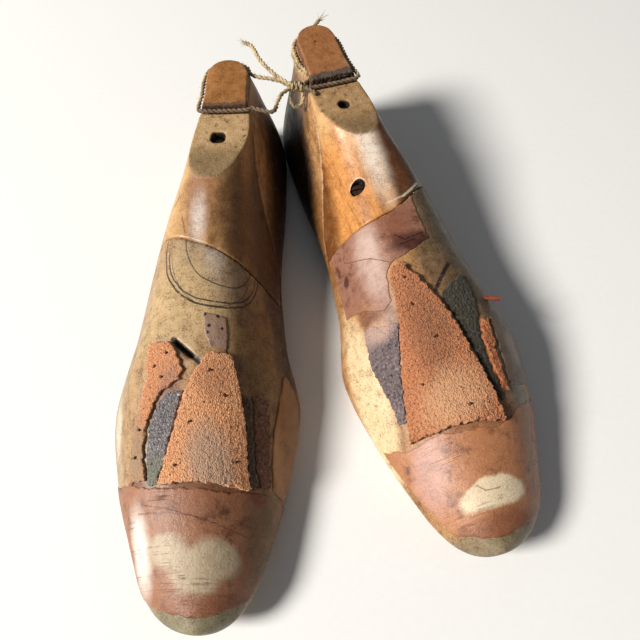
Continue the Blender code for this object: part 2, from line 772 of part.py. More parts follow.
def build_cap(hand):
    """The leather lift glued to the top of the crown."""
    frame = FRAMES[hand]
    cap = add_object(hand + "_crown_leather", full_last_mesh(hand), CAP_LEATHER[hand], parent=frame)
    thickness = CAP_THICKNESS[hand]
    back = -20 * MM
    top = [(d, crown_height(hand, d)) for d in (back, CROWN_FRONT)]
    low = [(d, crown_height(hand, d, thickness)) for d in (CROWN_FRONT, back)]
    slab = prism(hand + "_cap_slab", hand, top + low)
    cut(cap, add_object(hand + "_cap_slab", slab, parent=frame, cutter=True), "INTERSECT")
    round_shading(cap)
    return cap


def build_peg(body, block):
    """A hidden dowel that locates the left block on its seat."""
    frame = FRAMES["left"]
    seat = float(smooth(SEAT, PEG_PLACE))
    place = in_last("left", (0, PEG_PLACE, seat))
    radius = PEG_DIAMETER / 2
    low = -PEG_SINK
    high = PEG_LENGTH - PEG_SINK
    dowel = cylinder_mesh("left_block_peg", radius, low, high)
    peg = add_object("left_block_peg", dowel, DOWEL, parent=frame)
    peg.location = place
    round_shading(peg)
    bore = cylinder_mesh("peg_bore", radius + FIT, low - 1 * MM, high + 1.5 * MM)
    bore_cut = add_object("peg_bore", bore, parent=frame, cutter=True)
    bore_cut.location = place
    cut(body, bore_cut)
    cut(block, bore_cut)
    return peg


def build_screw(body, block):
    """The steel wood screw of the right block, sunk in a counterbore."""
    frame = FRAMES["right"]
    d, s = SCREW_PLACE
    top = float(smooth(RIDGE_HEIGHT, d)) - SCREW_HEAD_DEPTH
    axis = make_empty("right_screw_axis", in_last("right", (s, d, top)), parent=frame)
    countersink = (SCREW_HEAD - SCREW_SHANK) / 2
    radius = SCREW_HEAD / 2
    shank = SCREW_SHANK / 2
    point = 5 * MM
    profile = (
        (0, 0),
        (radius, 0),
        (radius, -0.5 * MM),
        (shank, -0.5 * MM - countersink),
        (shank, point - SCREW_LENGTH),
        (0.5 * MM, -SCREW_LENGTH),
        (0, -SCREW_LENGTH),
    )
    screw = turned("right_block_screw", profile, STEEL, axis)
    slot = bpy.data.meshes.new("screw_slot")
    builder = bmesh.new()
    bmesh.ops.create_cube(builder, size=1.0)
    slot_size = (SCREW_HEAD * 1.4, SCREW_SLOT, 2 * SCREW_SLOT_DEPTH)
    bmesh.ops.scale(builder, verts=builder.verts, vec=slot_size)
    builder.to_mesh(slot)
    builder.free()
    cut(screw, add_object("screw_slot", slot, parent=axis, cutter=True))

    under_head = -0.5 * MM - countersink - SCREW_FIT
    counterbore = cylinder_mesh("screw_counterbore", radius + SCREW_FIT, under_head, 40 * MM)
    counter_cut = add_object("screw_counterbore", counterbore, parent=axis, cutter=True)
    cut(block, counter_cut)
    clearance = cylinder_mesh("screw_clearance", shank + SCREW_FIT, -SCREW_LENGTH - 1 * MM, 0)
    clear_cut = add_object("screw_clearance", clearance, parent=axis, cutter=True)
    cut(block, clear_cut)
    cut(body, clear_cut)
    return screw


def turned(name, profile, finish, parent, steps=16):
    """A turned solid from a profile of (radius, height), with Screw."""
    builder = bmesh.new()
    verts = [builder.verts.new((r, 0, z)) for r, z in profile]
    for a, b in zip(verts, verts[1:]):
        builder.edges.new((a, b))
    mesh = bpy.data.meshes.new(name)
    builder.to_mesh(mesh)
    builder.free()
    obj = add_object(name, mesh, finish, parent=parent)
    screw = obj.modifiers.new("turn", "SCREW")
    screw.steps = steps
    screw.render_steps = steps
    screw.use_merge_vertices = True
    screw.merge_threshold = 0.00001
    screw.use_smooth_shade = True
    return obj


def drive(hand, d, g, lift):
    """Frame of a tack or peg that stands square on the skin."""
    base = in_last(hand, skin_point(hand, d, g))
    tip = in_last(hand, skin_point(hand, d, g, 5 * MM))
    turn = (tip - base).to_track_quat("Z", "Y").to_matrix().to_4x4()
    turn.translation = base + (tip - base).normalized() * lift
    return turn


def tack_profile(length):
    """Side outline of a tack from the top of its domed head to its point."""
    head = TACK_HEAD / 2
    shank = TACK_SHANK / 2
    return (
        (0, TACK_HEAD_HEIGHT),
        (head * 0.6, TACK_HEAD_HEIGHT),
        (head, 0),
        (shank, 0),
        (shank, -length),
        (0, -length - TACK_SHANK),
    )


def build_tacks(hand, name, places, over, pierced):
    """Tacks through a leather piece into the last, each in its own hole."""
    frame = FRAMES[hand]
    hole_radius = TACK_SHANK / 2 + FIT
    depth = TACK_LENGTH + TACK_SHANK + FIT
    holes = []
    for number, (d, g) in enumerate(places, 1):
        matrix = drive(hand, d, g, LEATHER_FIT + over + FIT)
        tack = turned(f"{name}_{number}", tack_profile(TACK_LENGTH), STEEL, frame, steps=10)
        tack.matrix_local = matrix
        holes.append((cylinder_mesh("hole", hole_radius, -depth, over, 8), matrix))
    holes_mesh = join_solids(name + "_holes", holes)
    holes_cut = add_object(name + "_holes", holes_mesh, parent=frame, cutter=True)
    for piece in pierced:
        cut(piece, holes_cut)


def build_crown_tack(cap, body):
    """The single tack in the right crown leather."""
    d, s = CROWN_TACK_PLACE
    place = in_last("right", (s, d, crown_height("right", d) + FIT))
    axis = make_empty("right_crown_tack_axis", place, parent=FRAMES["right"])
    turned("right_crown_tack", tack_profile(TACK_LENGTH), STEEL, axis, steps=10)
    depth = TACK_LENGTH + TACK_SHANK + FIT
    hole = cylinder_mesh("crown_tack_hole", TACK_SHANK / 2 + FIT, -depth, TACK_LENGTH, 8)
    hole_cut = add_object("crown_tack_hole", hole, parent=axis, cutter=True)
    cut(cap, hole_cut)
    cut(body, hole_cut)


def build_side_peg(body):
    """The thin peg that stands proud of the right last's outer side."""
    frame = FRAMES["right"]
    radius = SIDE_PEG_DIAMETER / 2
    inside = SIDE_PEG_PROUD - SIDE_PEG_LENGTH
    matrix = in_last("right", SIDE_PEG_AIM).to_track_quat("Z", "Y").to_matrix().to_4x4()
    matrix.translation = in_last("right", skin_point("right", *SIDE_PEG_PLACE))
    mesh = cylinder_mesh("right_side_peg", radius, inside, SIDE_PEG_PROUD, 10)
    mesh.transform(matrix)
    peg = add_object("right_side_peg", mesh, PEG_WOOD, parent=frame)
    round_shading(peg)
    hole = cylinder_mesh("side_peg_hole", radius + FIT, inside - 0.5 * MM, 5 * MM, 10)
    hole.transform(matrix)
    cut(body, add_object("side_peg_hole", hole, parent=frame, cutter=True))
    return peg


def crown_route(hand, level):
    """The twine's line round the crown at a level: little-toe side, heel's back, big-toe side."""
    turns = np.linspace(0, math.pi / 2, 6)
    places = np.concatenate([HEEL_ROUND[0][1] * (1 - np.cos(turns)), [42 * MM, 60 * MM]])
    angles = np.linspace(0, math.pi / 2, FINE_STEPS)
    outline = []
    for side, run in (("little", places[::-1]), ("big", places[1:])):
        for d in run:
            skin = section(hand, d, angles)[side]
            outline.append([np.interp(level, skin[:, 2], skin[:, k]) for k in (0, 1)])
    outline = np.array(outline)
    tangent = np.gradient(outline, axis=0)
    normal = np.stack([tangent[:, 1], -tangent[:, 0]], axis=-1)
    normal = normal / np.linalg.norm(normal, axis=1)[:, None]
    return outline + normal * (TWINE_DIAMETER / 2 + LEATHER_FIT)


def crown_loop(hand, first):
    """Route round the crown from a place on the little-toe side, ending in the notch before it."""
    off = TWINE_DIAMETER / 2 + LEATHER_FIT
    route = crown_route(hand, TWINE_LEVEL)
    middle = int(np.argmin(route[:, 1]))
    little = route[: middle + 1]
    big = route[middle + 1:]
    path = [p for p in little if p[1] < first] + [p for p in big if p[1] < CROWN_FRONT - 4 * MM]
    wide = np.interp(CROWN_FRONT, big[:, 1], big[:, 0])
    narrow = np.interp(CROWN_FRONT, little[::-1, 1], little[::-1, 0])
    corner = off * (math.sqrt(2) - 1)
    front = CROWN_FRONT + off
    path += [
        (wide, CROWN_FRONT + corner),
        (wide - off + corner, front),
        (narrow + off - corner, front),
        (narrow, CROWN_FRONT + corner),
    ]
    matrix = FRAMES[hand].matrix_world
    return [tuple(matrix @ in_last(hand, (across, along, TWINE_LEVEL))) for across, along in path]


def smooth_route(points):
    """The route's own points, with more between them on a smooth curve where they lie far apart."""
    places = np.array(points, dtype=float)
    apart = np.linalg.norm(np.diff(places, axis=0), axis=1)
    run = np.concatenate([[0.0], np.cumsum(np.sqrt(apart))])
    slopes = np.gradient(places, run, axis=0)
    route = [places[0]]
    for i, length in enumerate(apart):
        span = run[i + 1] - run[i]
        count = max(1, round(length / (2.6 * TWINE_DIAMETER)))
        for u in np.linspace(0, 1, count + 1)[1:]:
            route.append(
                places[i] * (1 + 2 * u) * (1 - u) ** 2
                + places[i + 1] * u * u * (3 - 2 * u)
                + span * (slopes[i] * u * (1 - u) ** 2 - slopes[i + 1] * u * u * (1 - u))
            )
    return route


def twine(name, points):
    """A length of twine: a bevelled curve, made a mesh with welded caps."""
    points = smooth_route(points)
    data = bpy.data.curves.new(name, "CURVE")
    data.dimensions = "3D"
    data.bevel_depth = TWINE_DIAMETER / 2
    data.bevel_resolution = 2
    data.use_fill_caps = True
    spline = data.splines.new("POLY")
    spline.points.add(len(points) - 1)
    for slot, place in zip(spline.points, points):
        slot.co = (*place, 1.0)
    curve = bpy.data.objects.new(name, data)
    PIECES.objects.link(curve)
    evaluated = curve.evaluated_get(bpy.context.evaluated_depsgraph_get())
    mesh = bpy.data.meshes.new_from_object(evaluated)
    PIECES.objects.unlink(curve)
    bpy.data.objects.remove(curve)
    builder = bmesh.new()
    builder.from_mesh(mesh)
    bmesh.ops.remove_doubles(builder, verts=builder.verts, dist=0.00001)
    bmesh.ops.recalc_face_normals(builder, faces=builder.faces)
    builder.to_mesh(mesh)
    builder.free()
    obj = add_object(name, mesh, TWINE)
    round_shading(obj, 60)
    return obj


def from_knot(*places):
    """Places given in millimetres from the knot's centre."""
    return [tuple(k + p * MM for k, p in zip(KNOT_CENTRE, place)) for place in places]


def build_twine():
    """The tie: a loop round each crown, the knot between them, a bow and two loose ends."""
    twine(
        "twine_left_loop",
        from_knot((-5.1, 1.3, -0.9), (-10.0, 6.4, -0.5))
        + crown_loop("left", 26 * MM)
        + from_knot((-13.0, -18.5, -0.4), (-10.6, -11.0, -0.5), (-8.2, -4.8, -0.6), (-5.1, -1.3, -0.8)),
    )
    twine(
        "twine_right_loop",
        from_knot((5.1, 1.2, 1.0), (7.2, 6.6, 0.4))
        + crown_loop("right", 32 * MM)
        + from_knot((10.0, -6.6, -0.3), (7.6, -4.0, 0), (5.1, -1.4, 0)),
    )
    twine(
        "twine_left_tail",
        from_knot(
            (-5.1, 0.1, 1.6),
            (-9.5, 5.2, 2.0),
            (-14.4, 11.6, 2.4),
            (-18.2, 17.0, 3.0),
            (-20.8, 22.2, 3.4),
            (-22.6, 27.8, 3.2),
            (-24.6, 33.0, 2.8),
            (-28.0, 36.4, 2.6),
        ),
    )
    low = TWINE_LEVEL - 1.25 * TWINE_DIAMETER
    route = crown_route("right", low)
    side = [p for p in route[: int(np.argmin(route[:, 1])) + 1] if 4 * MM < p[1] < 32 * MM]
    matrix = FRAMES["right"].matrix_world
    beside = [tuple(matrix @ in_last("right", (across, along, low))) for across, along in side]
    twine(
        "twine_right_tail",
        from_knot((5.1, 1.2, -1.5), (7.0, 6.8, -2.0))
        + beside
        + from_knot((12.0, 51.5, 1.0), (14.5, 53.5, 3.0)),
    )
    twine(
        "twine_bow",
        from_knot(
            (-2.1, -0.3, -3.1),
            (-3.3, -1.9, -5.5),
            (-3.1, -4.1, -7.7),
            (-0.6, -5.7, -9.0),
            (1.7, -5.1, -7.7),
            (2.9, -2.7, -5.5),
            (2.1, -0.3, -3.1),
        ),
    )
    builder = bmesh.new()
    bmesh.ops.create_icosphere(builder, subdivisions=2, radius=0.5)
    bmesh.ops.scale(builder, verts=builder.verts, vec=KNOT_SIZE)
    bmesh.ops.translate(builder, verts=builder.verts, vec=KNOT_CENTRE)
    mesh = bpy.data.meshes.new("twine_knot")
    builder.to_mesh(mesh)
    builder.free()
    round_shading(add_object("twine_knot", mesh, TWINE), 60)


def build_left_leathers(body):
    """Fittings nailed and glued to the left last's forepart."""
    pad = panel(
        "left",
        "left_centre_pad",
        LEFT_CENTRE_PAD,
        PAD_THICKNESS,
        SUEDE,
    )
    panel(
        "left",
        "left_outer_strip",
        LEFT_OUTER_STRIP,
        STRIP_THICKNESS,
        GREY_LEATHER,
    )
    rough = panel(
        "left",
        "left_outer_leather",
        LEFT_OUTER_LEATHER,
        ROUGH_THICKNESS,
        ROUGH_LEATHER,
        SHEET_STEP_ALONG / 2,
    )
    panel(
        "left",
        "left_inner_dark_strip",
        LEFT_INNER_DARK_STRIP,
        STRIP_THICKNESS,
        DARK_LEATHER,
    )
    panel(
        "left",
        "left_inner_brown_strip",
        LEFT_INNER_BROWN_STRIP,
        STRIP_THICKNESS,
        ROUGH_LEATHER,
    )
    panel(
        "left",
        "left_inner_joint_leather",
        LEFT_INNER_JOINT_LEATHER,
        JOINT_THICKNESS,
        JOINT_LEATHER,
    )
    panel(
        "left",
        "left_instep_patch",
        LEFT_INSTEP_PATCH,
        SKIN_THICKNESS,
        WORN_LEATHER,
    )
    toe_leather("left", LEFT_TOE_REAR_EDGE, 6 * MM, 6 * MM)
    build_tacks("left", "left_pad_tack", LEFT_PAD_TACKS, PAD_THICKNESS, (pad, body))
    build_tacks("left", "left_leather_tack", LEFT_LEATHER_TACKS, ROUGH_THICKNESS, (rough, body))


def build_right_leathers(body):
    """Fittings nailed and glued to the right last's forepart."""

    def top_edge(g):
        """Just in front of the block, which lifts past it."""
        d = BLOCK_FRONT["right"][0][1]
        for _ in range(6):
            across, along, up = skin_point("right", d, g, LEATHER_FIT + SKIN_THICKNESS)
            d += block_front("right", across) + INSTEP_GAP - along
        return d

    girths = np.concatenate([np.linspace(-50 * MM, 0, 11), np.linspace(0, 12 * MM, 4)[1:]])
    band(
        "right",
        "right_instep_leather",
        girths,
        top_edge,
        lambda g: float(smooth(RIGHT_INSTEP_END, g)),
        SKIN_THICKNESS,
        INSTEP_LEATHER,
    )
    pad = panel(
        "right",
        "right_centre_pad",
        RIGHT_CENTRE_PAD,
        PAD_THICKNESS,
        SUEDE,
    )
    panel(
        "right",
        "right_inner_strip",
        RIGHT_INNER_STRIP,
        STRIP_THICKNESS,
        GREY_LEATHER,
    )
    panel(
        "right",
        "right_outer_dark_strip",
        RIGHT_OUTER_DARK_STRIP,
        STRIP_THICKNESS,
        DARK_LEATHER,
    )
    panel(
        "right",
        "right_outer_torn_strip",
        RIGHT_OUTER_TORN_STRIP,
        STRIP_THICKNESS,
        ROUGH_LEATHER,
    )
    panel(
        "right",
        "right_outer_joint_leather",
        RIGHT_OUTER_JOINT_LEATHER,
        JOINT_THICKNESS,
        JOINT_LEATHER,
    )
    toe_leather("right", RIGHT_TOE_REAR_EDGE, 11 * MM, 6 * MM)
    build_tacks("right", "right_pad_tack", RIGHT_PAD_TACKS, PAD_THICKNESS, (pad, body))


def centre_on_floor():
    """Move the pair so that the origin is under its middle, twine left out."""
    bpy.context.view_layer.update()
    low = Vector((1e9, 1e9, 1e9))
    high = -low
    graph = bpy.context.evaluated_depsgraph_get()
    for obj in PIECES.objects:
        if obj.type != "MESH" or obj.name.startswith("twine"):
            continue
        mesh = obj.evaluated_get(graph).to_mesh()
        for vertex in mesh.vertices:
            place = obj.matrix_world @ vertex.co
            low = Vector(map(min, low, place))
            high = Vector(map(max, high, place))
    shift = -(low + high) / 2
    for obj in list(PIECES.objects) + list(CUTTERS.objects):
        if obj.parent is None:
            obj.location.x += shift.x
            obj.location.y += shift.y


# Finishes: colour, roughness, metallic
WOOD = {"left": ((0.42, 0.27, 0.12), 0.45, 0.0), "right": ((0.44, 0.25, 0.09), 0.42, 0.0)}
BLOCK_WOOD = {"left": ((0.36, 0.20, 0.09), 0.5, 0.0), "right": ((0.42, 0.22, 0.08), 0.45, 0.0)}
CAP_LEATHER = {"left": ((0.33, 0.11, 0.03), 0.4, 0.0), "right": ((0.30, 0.11, 0.04), 0.4, 0.0)}
DOWEL = ((0.55, 0.42, 0.24), 0.6, 0.0)
PEG_WOOD = ((0.38, 0.10, 0.05), 0.5, 0.0)
STEEL = ((0.30, 0.27, 0.26), 0.45, 1.0)
SUEDE = ((0.52, 0.22, 0.10), 0.95, 0.0)
ROUGH_LEATHER = ((0.38, 0.17, 0.08), 0.85, 0.0)
GREY_LEATHER = ((0.20, 0.20, 0.20), 0.7, 0.0)
DARK_LEATHER = ((0.07, 0.08, 0.07), 0.6, 0.0)
WORN_LEATHER = ((0.38, 0.28, 0.26), 0.6, 0.0)
JOINT_LEATHER = ((0.46, 0.21, 0.08), 0.5, 0.0)
INSTEP_LEATHER = ((0.24, 0.11, 0.08), 0.35, 0.0)
TOE_LEATHER = ((0.32, 0.12, 0.07), 0.4, 0.0)
TWINE = ((0.62, 0.55, 0.38), 0.9, 0.0)

clear_scene()
PIECES = new_collection("cobbler_last")
CUTTERS = new_collection("cutters")
FRAMES = {}
for last_hand, ((heel_x, heel_y), last_turn) in STAND.items():
    FRAMES[last_hand] = make_empty(last_hand + "_last", (heel_x, heel_y, 0), last_turn)
bpy.context.view_layer.update()

left_body, left_block = build_wood("left")
right_body, right_block = build_wood("right")
build_cap("left")
right_cap = build_cap("right")
build_peg(left_body, left_block)
build_screw(right_body, right_block)
build_left_leathers(left_body)
build_right_leathers(right_body)
build_crown_tack(right_cap, right_body)
build_side_peg(right_body)
build_twine()
centre_on_floor()
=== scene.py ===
import math

import bmesh
import bpy
import numpy as np
from mathutils import Matrix, Vector, noise
from mathutils.kdtree import KDTree


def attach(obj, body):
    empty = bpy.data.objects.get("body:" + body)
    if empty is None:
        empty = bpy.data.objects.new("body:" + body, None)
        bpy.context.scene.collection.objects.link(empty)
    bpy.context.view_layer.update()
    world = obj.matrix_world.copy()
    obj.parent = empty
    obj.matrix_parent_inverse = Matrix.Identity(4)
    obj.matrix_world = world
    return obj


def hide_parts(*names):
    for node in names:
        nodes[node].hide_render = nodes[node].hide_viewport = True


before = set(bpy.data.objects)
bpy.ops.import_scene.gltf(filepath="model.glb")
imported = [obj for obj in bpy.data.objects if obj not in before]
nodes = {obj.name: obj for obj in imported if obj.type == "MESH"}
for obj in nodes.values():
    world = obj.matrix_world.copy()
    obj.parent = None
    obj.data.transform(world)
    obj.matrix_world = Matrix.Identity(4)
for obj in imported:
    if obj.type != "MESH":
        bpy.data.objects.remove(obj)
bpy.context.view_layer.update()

# Wooden lasts
# Each last is turned from one block of beech and sawn for its scoop block. Old varnish shines on
# the ridge, where a highlight is also painted, and grey, olive and red stains mark the rest, over
# painted shade on the flanks turned from the light. The seats of the blocks are bare wood.
MM = 0.001


def in_mm(*pairs):
    """Pairs of sizes that are written in millimetres."""
    return tuple((a * MM, b * MM) for a, b in pairs)


LAST_LENGTH = 292 * MM
TOE_START = LAST_LENGTH - 58 * MM
TOE_CORNER = LAST_LENGTH - 23 * MM
TOE_ROUND = 78 * MM
TOE_SQUARENESS = 2.45
TOE_FRONT_HEIGHT = 20 * MM
TOE_FRONT_CURVE = 20.0
LOW_BULGE = 0.16
BULGE_HEIGHT = 0.22
BIG_TOE_SIDE = in_mm((0, 25.5), (29, 25.5), (70, 30), (117, 39.5), (161, 45.5), (199, 50)) + (
    (TOE_START, 44.2 * MM),
    (TOE_CORNER, 37.6 * MM),
    (LAST_LENGTH, 37.6 * MM),
)
LITTLE_TOE_SIDE = in_mm((0, 27.5), (29, 27.5), (70, 28), (117, 27.5), (161, 31), (199, 39)) + (
    (TOE_START, 34.4 * MM),
    (TOE_CORNER, 30.4 * MM),
    (LAST_LENGTH, 30.4 * MM),
)
RIDGE_HEIGHT = in_mm(
    (0, 111), (35, 101), (70, 86), (99, 68.5), (128, 57.5),
    (146, 53), (175, 49), (204, 43), (234, 38),
) + ((LAST_LENGTH - 29 * MM, 32 * MM), (LAST_LENGTH, 24 * MM))
SOLE_HEIGHT = in_mm((0, 0), (64, 0), (123, 8), (193, 0), (216, 0)) + ((LAST_LENGTH, 13 * MM),)
RIDGE_LEAN = in_mm((0, 0), (58, 0), (117, 6), (161, 6.5), (204, 12)) + ((LAST_LENGTH, 0),)
FULLNESS = ((0, 1.0), (88 * MM, 1.3), (146 * MM, 1.5), (219 * MM, 2.0), (LAST_LENGTH, 1.8))
FLARE = ((0, 0.80), (30 * MM, 0.74), (73 * MM, 0.46), (131 * MM, 0.34), (LAST_LENGTH, 0.5))
HEEL_BACK = {
    "left": in_mm((0, 5), (25, 0), (50, 5), (77, 17.5), (120, 34)),
    "right": in_mm((0, 5), (25, 0), (60, 4.5), (77, 8), (120, 18)),
}
HEEL_ROUND = in_mm((0, 31), (45, 29), (80, 14))
HEEL_PLACE = {"left": (-41.82 * MM, 137.78 * MM), "right": (2.68 * MM, 153.58 * MM)}
LAST_TURN = {"left": -2.45, "right": 13.3}
BIG_TOE_SIGN = {"left": -1, "right": 1}
CROWN_HEIGHT = {"left": 76.5 * MM, "right": 77.5 * MM}
CROWN_FALL = 0.068
CROWN_FRONT = 50.5 * MM
CAP_THICKNESS = {"left": 3.5 * MM, "right": 4.5 * MM}
FIT = 0.3 * MM
LEATHER_FIT = 0.4 * MM
SEAT = ((CROWN_FRONT, 69.3 * MM), (CROWN_FRONT + 6 * MM, 66.5 * MM)) + in_mm(
    (71, 60.5), (93, 42.5), (107, 30), (123, 20), (136, 17.5), (165, 17.5)
)
BLOCK_FRONT = {
    "left": in_mm((-60, 153.5), (-24, 140), (-5, 132), (6, 127.5), (21, 122.5), (60, 110)),
    "right": in_mm(
        (-60, 121), (-26, 129.5), (-17, 132), (-6, 134),
        (5, 132.5), (14, 128.5), (29, 117), (60, 92),
    ),
}
# The slots cut into the insteps: start, end, width and depth
SLOT = {
    "left": ((184 * MM, 7 * MM), (194 * MM, -8 * MM), 2.6 * MM, 4 * MM),
    "right": ((187 * MM, 1.5 * MM), (175 * MM, 15 * MM), 1.7 * MM, 4 * MM),
}
TWINE_DIAMETER = 2.0 * MM
SECTION_STEPS = 48
STATION_STEP = 2 * MM
GIRTH_STEPS = np.linspace(-140 * MM, 140 * MM, 561)
WOOD_GRAIN_SIZE = 1.0 * MM
# How far cutters reach past the wood, aside and up
ASIDE = 60 * MM
ABOVE = 0.14
CLEAR_BELOW = 0.02
CLEAR_ABOVE = 0.2


def curve(start, end, leave, arrive, span, u):
    """Cubic from start to end with its slopes at both, for shares u of the span."""
    return (
        start * (1 + 2 * u) * (1 - u) ** 2
        + end * u * u * (3 - 2 * u)
        + span * (leave * u * (1 - u) ** 2 - arrive * u * u * (1 - u))
    )


def smooth(knots, x):
    """Cubic through the knots that never overshoots them."""
    xs = np.array([knot[0] for knot in knots], dtype=float)
    ys = np.array([knot[1] for knot in knots], dtype=float)
    x = np.clip(np.asarray(x, dtype=float), xs[0], xs[-1])
    step = np.diff(xs)
    slope = np.diff(ys) / step
    tangent = np.concatenate([slope[:1], np.zeros(len(slope) - 1), slope[-1:]])
    same_way = slope[:-1] * slope[1:] > 0
    near = 2 * step[1:] + step[:-1]
    far = step[1:] + 2 * step[:-1]
    safe_a = np.where(same_way, slope[:-1], 1.0)
    safe_b = np.where(same_way, slope[1:], 1.0)
    tangent[1:-1] = np.where(same_way, (near + far) / (near / safe_a + far / safe_b), 0.0)
    i = np.clip(np.searchsorted(xs, x) - 1, 0, len(step) - 1)
    return curve(ys[i], ys[i + 1], tangent[i], tangent[i + 1], step[i], (x - xs[i]) / step[i])


def end_rounding(distance, radius, squareness):
    """Plan rounding of an end: 0 at the tip and 1 from the radius inwards."""
    reach = np.clip(distance / radius, 0, 1)
    return (1 - (1 - reach) ** squareness) ** (1 / squareness)


def section(hand, d, angles):
    """One cross-section: across, along and up for each angle, on both sides."""
    top = smooth(RIDGE_HEIGHT, d)
    low = smooth(SOLE_HEIGHT, d)
    fullness = smooth(FULLNESS, d)
    flare = smooth(FLARE, d)

    def spread(angle):
        rise = np.sin(angle) ** (2 / fullness)
        bulge = 1 + LOW_BULGE * (rise / BULGE_HEIGHT) * np.exp(1 - rise / BULGE_HEIGHT)
        return rise, np.abs(np.cos(angle)) ** (2 * flare) * bulge

    widest = spread(np.linspace(0, math.pi / 2, 40))[1].max()
    rise, width = spread(angles)
    width = np.where(angles > math.pi / 2 - 1e-6, 0.0, width / widest)
    up = low + (top - low) * rise
    ends = end_rounding(d, smooth(HEEL_ROUND, up), 2.0)
    ends = ends * end_rounding(LAST_LENGTH - d, TOE_ROUND, TOE_SQUARENESS)
    lean = smooth(RIDGE_LEAN, d) * ends
    heel = smooth(HEEL_BACK[hand], up)
    toe = LAST_LENGTH - TOE_FRONT_CURVE * (up - TOE_FRONT_HEIGHT) ** 2
    share = d / LAST_LENGTH
    along = heel * (1 - share) + toe * share
    sides = {}
    for name, knots, sign in (("big", BIG_TOE_SIDE, 1), ("little", LITTLE_TOE_SIDE, -1)):
        across = sign * smooth(knots, d) * ends * width + lean * rise ** 1.5
        sides[name] = np.stack([across, along, up], axis=-1)
    return sides


def stations():
    """Places along the last, close together round the heel and the toe."""
    quarter = math.pi / 2
    turns = np.sin(np.linspace(quarter, 0, 30)) ** TOE_SQUARENESS
    heel = HEEL_ROUND[0][1] * (1 - np.cos(np.linspace(0, quarter, 20)))
    toe = LAST_LENGTH - TOE_ROUND * (1 - (1 - turns) ** (1 / TOE_SQUARENESS))
    count = round((toe[0] - heel[-1]) / STATION_STEP)
    return np.concatenate([heel, np.linspace(heel[-1], toe[0], count + 1)[1:-1], toe])


def rings(hand):
    """All sections, from the little-toe edge over the ridge to the big-toe edge, with girths."""
    angles = np.linspace(0, math.pi / 2, SECTION_STEPS + 1)
    loops = []
    girths = []
    for d in stations():
        sides = section(hand, d, angles)
        loop = np.concatenate([sides["little"], sides["big"][::-1][1:]])
        girth = np.concatenate([[0.0], np.cumsum(np.linalg.norm(np.diff(loop, axis=0), axis=1))])
        loops.append(loop)
        girths.append(girth - girth[SECTION_STEPS])
    return {"d": stations(), "loops": np.array(loops), "girths": np.array(girths)}


FORMS = {hand: rings(hand) for hand in ("left", "right")}


def in_row(hand, points):
    """From across, along, up on a last to the row's frame, for an array of points."""
    turn = math.radians(LAST_TURN[hand])
    x = BIG_TOE_SIGN[hand] * points[..., 0]
    y = -points[..., 1]
    heel_x, heel_y = HEEL_PLACE[hand]
    row_x = x * math.cos(turn) - y * math.sin(turn) + heel_x
    row_y = x * math.sin(turn) + y * math.cos(turn) + heel_y
    return np.stack([row_x, row_y, points[..., 2]], axis=-1)


def on_last(hand, points):
    """From the row's frame to across, along, up on a last, for an array of points."""
    turn = math.radians(LAST_TURN[hand])
    heel_x, heel_y = HEEL_PLACE[hand]
    x = points[..., 0] - heel_x
    y = points[..., 1] - heel_y
    across = BIG_TOE_SIGN[hand] * (x * math.cos(turn) + y * math.sin(turn))
    along = x * math.sin(turn) - y * math.cos(turn)
    return np.stack([across, along, points[..., 2]], axis=-1)


def skin_table(hand):
    """The skin's points at even girths on every section."""
    form = FORMS[hand]
    rows = []
    for girths, loop in zip(form["girths"], form["loops"]):
        row = [np.interp(GIRTH_STEPS, girths, loop[:, k]) for k in range(3)]
        rows.append(np.stack(row, axis=-1))
    return np.array(rows)


SKINS = {hand: skin_table(hand) for hand in FORMS}


def skin(hand, d, g):
    """Points of the wood's skin at distances from the heel and girths from the ridge."""
    places = FORMS[hand]["d"]
    row = np.clip(np.searchsorted(places, d) - 1, 0, len(places) - 2)
    ahead = np.clip((d - places[row]) / (places[row + 1] - places[row]), 0, 1)[..., None]
    column = (g - GIRTH_STEPS[0]) / (GIRTH_STEPS[1] - GIRTH_STEPS[0])
    column = np.clip(column, 0, len(GIRTH_STEPS) - 1.001)
    left = column.astype(int)
    aside = (column - left)[..., None]
    table = SKINS[hand]
    rear = table[row, left] * (1 - aside) + table[row, left + 1] * aside
    front = table[row + 1, left] * (1 - aside) + table[row + 1, left + 1] * aside
    return rear * (1 - ahead) + front * ahead


def skin_outward(hand, d, g):
    """Outward directions of the skin."""
    reach = 0.7 * MM
    ahead = skin(hand, np.minimum(d + reach, LAST_LENGTH - 0.3 * MM), g) - skin(hand, d - reach, g)
    aside = skin(hand, d, g + reach) - skin(hand, d, g - reach)
    out = np.cross(aside, ahead)
    return out / np.maximum(np.linalg.norm(out, axis=-1), 1e-12)[..., None]


def skin_tree(hand):
    """A search tree of the skin's points, with the distance and girth of each."""
    form = FORMS[hand]
    step = GIRTH_STEPS[1] - GIRTH_STEPS[0]
    found = []
    for row, girths in enumerate(form["girths"]):
        inside = (GIRTH_STEPS > girths[0] - step) & (GIRTH_STEPS < girths[-1] + step)
        found.extend((row, column) for column in np.where(inside)[0])
    tree = KDTree(len(found))
    for i, (row, column) in enumerate(found):
        tree.insert(SKINS[hand][row, column], i)
    tree.balance()
    return tree, np.array([(form["d"][row], GIRTH_STEPS[column]) for row, column in found])


SKIN_TREES = {hand: skin_tree(hand) for hand in FORMS}


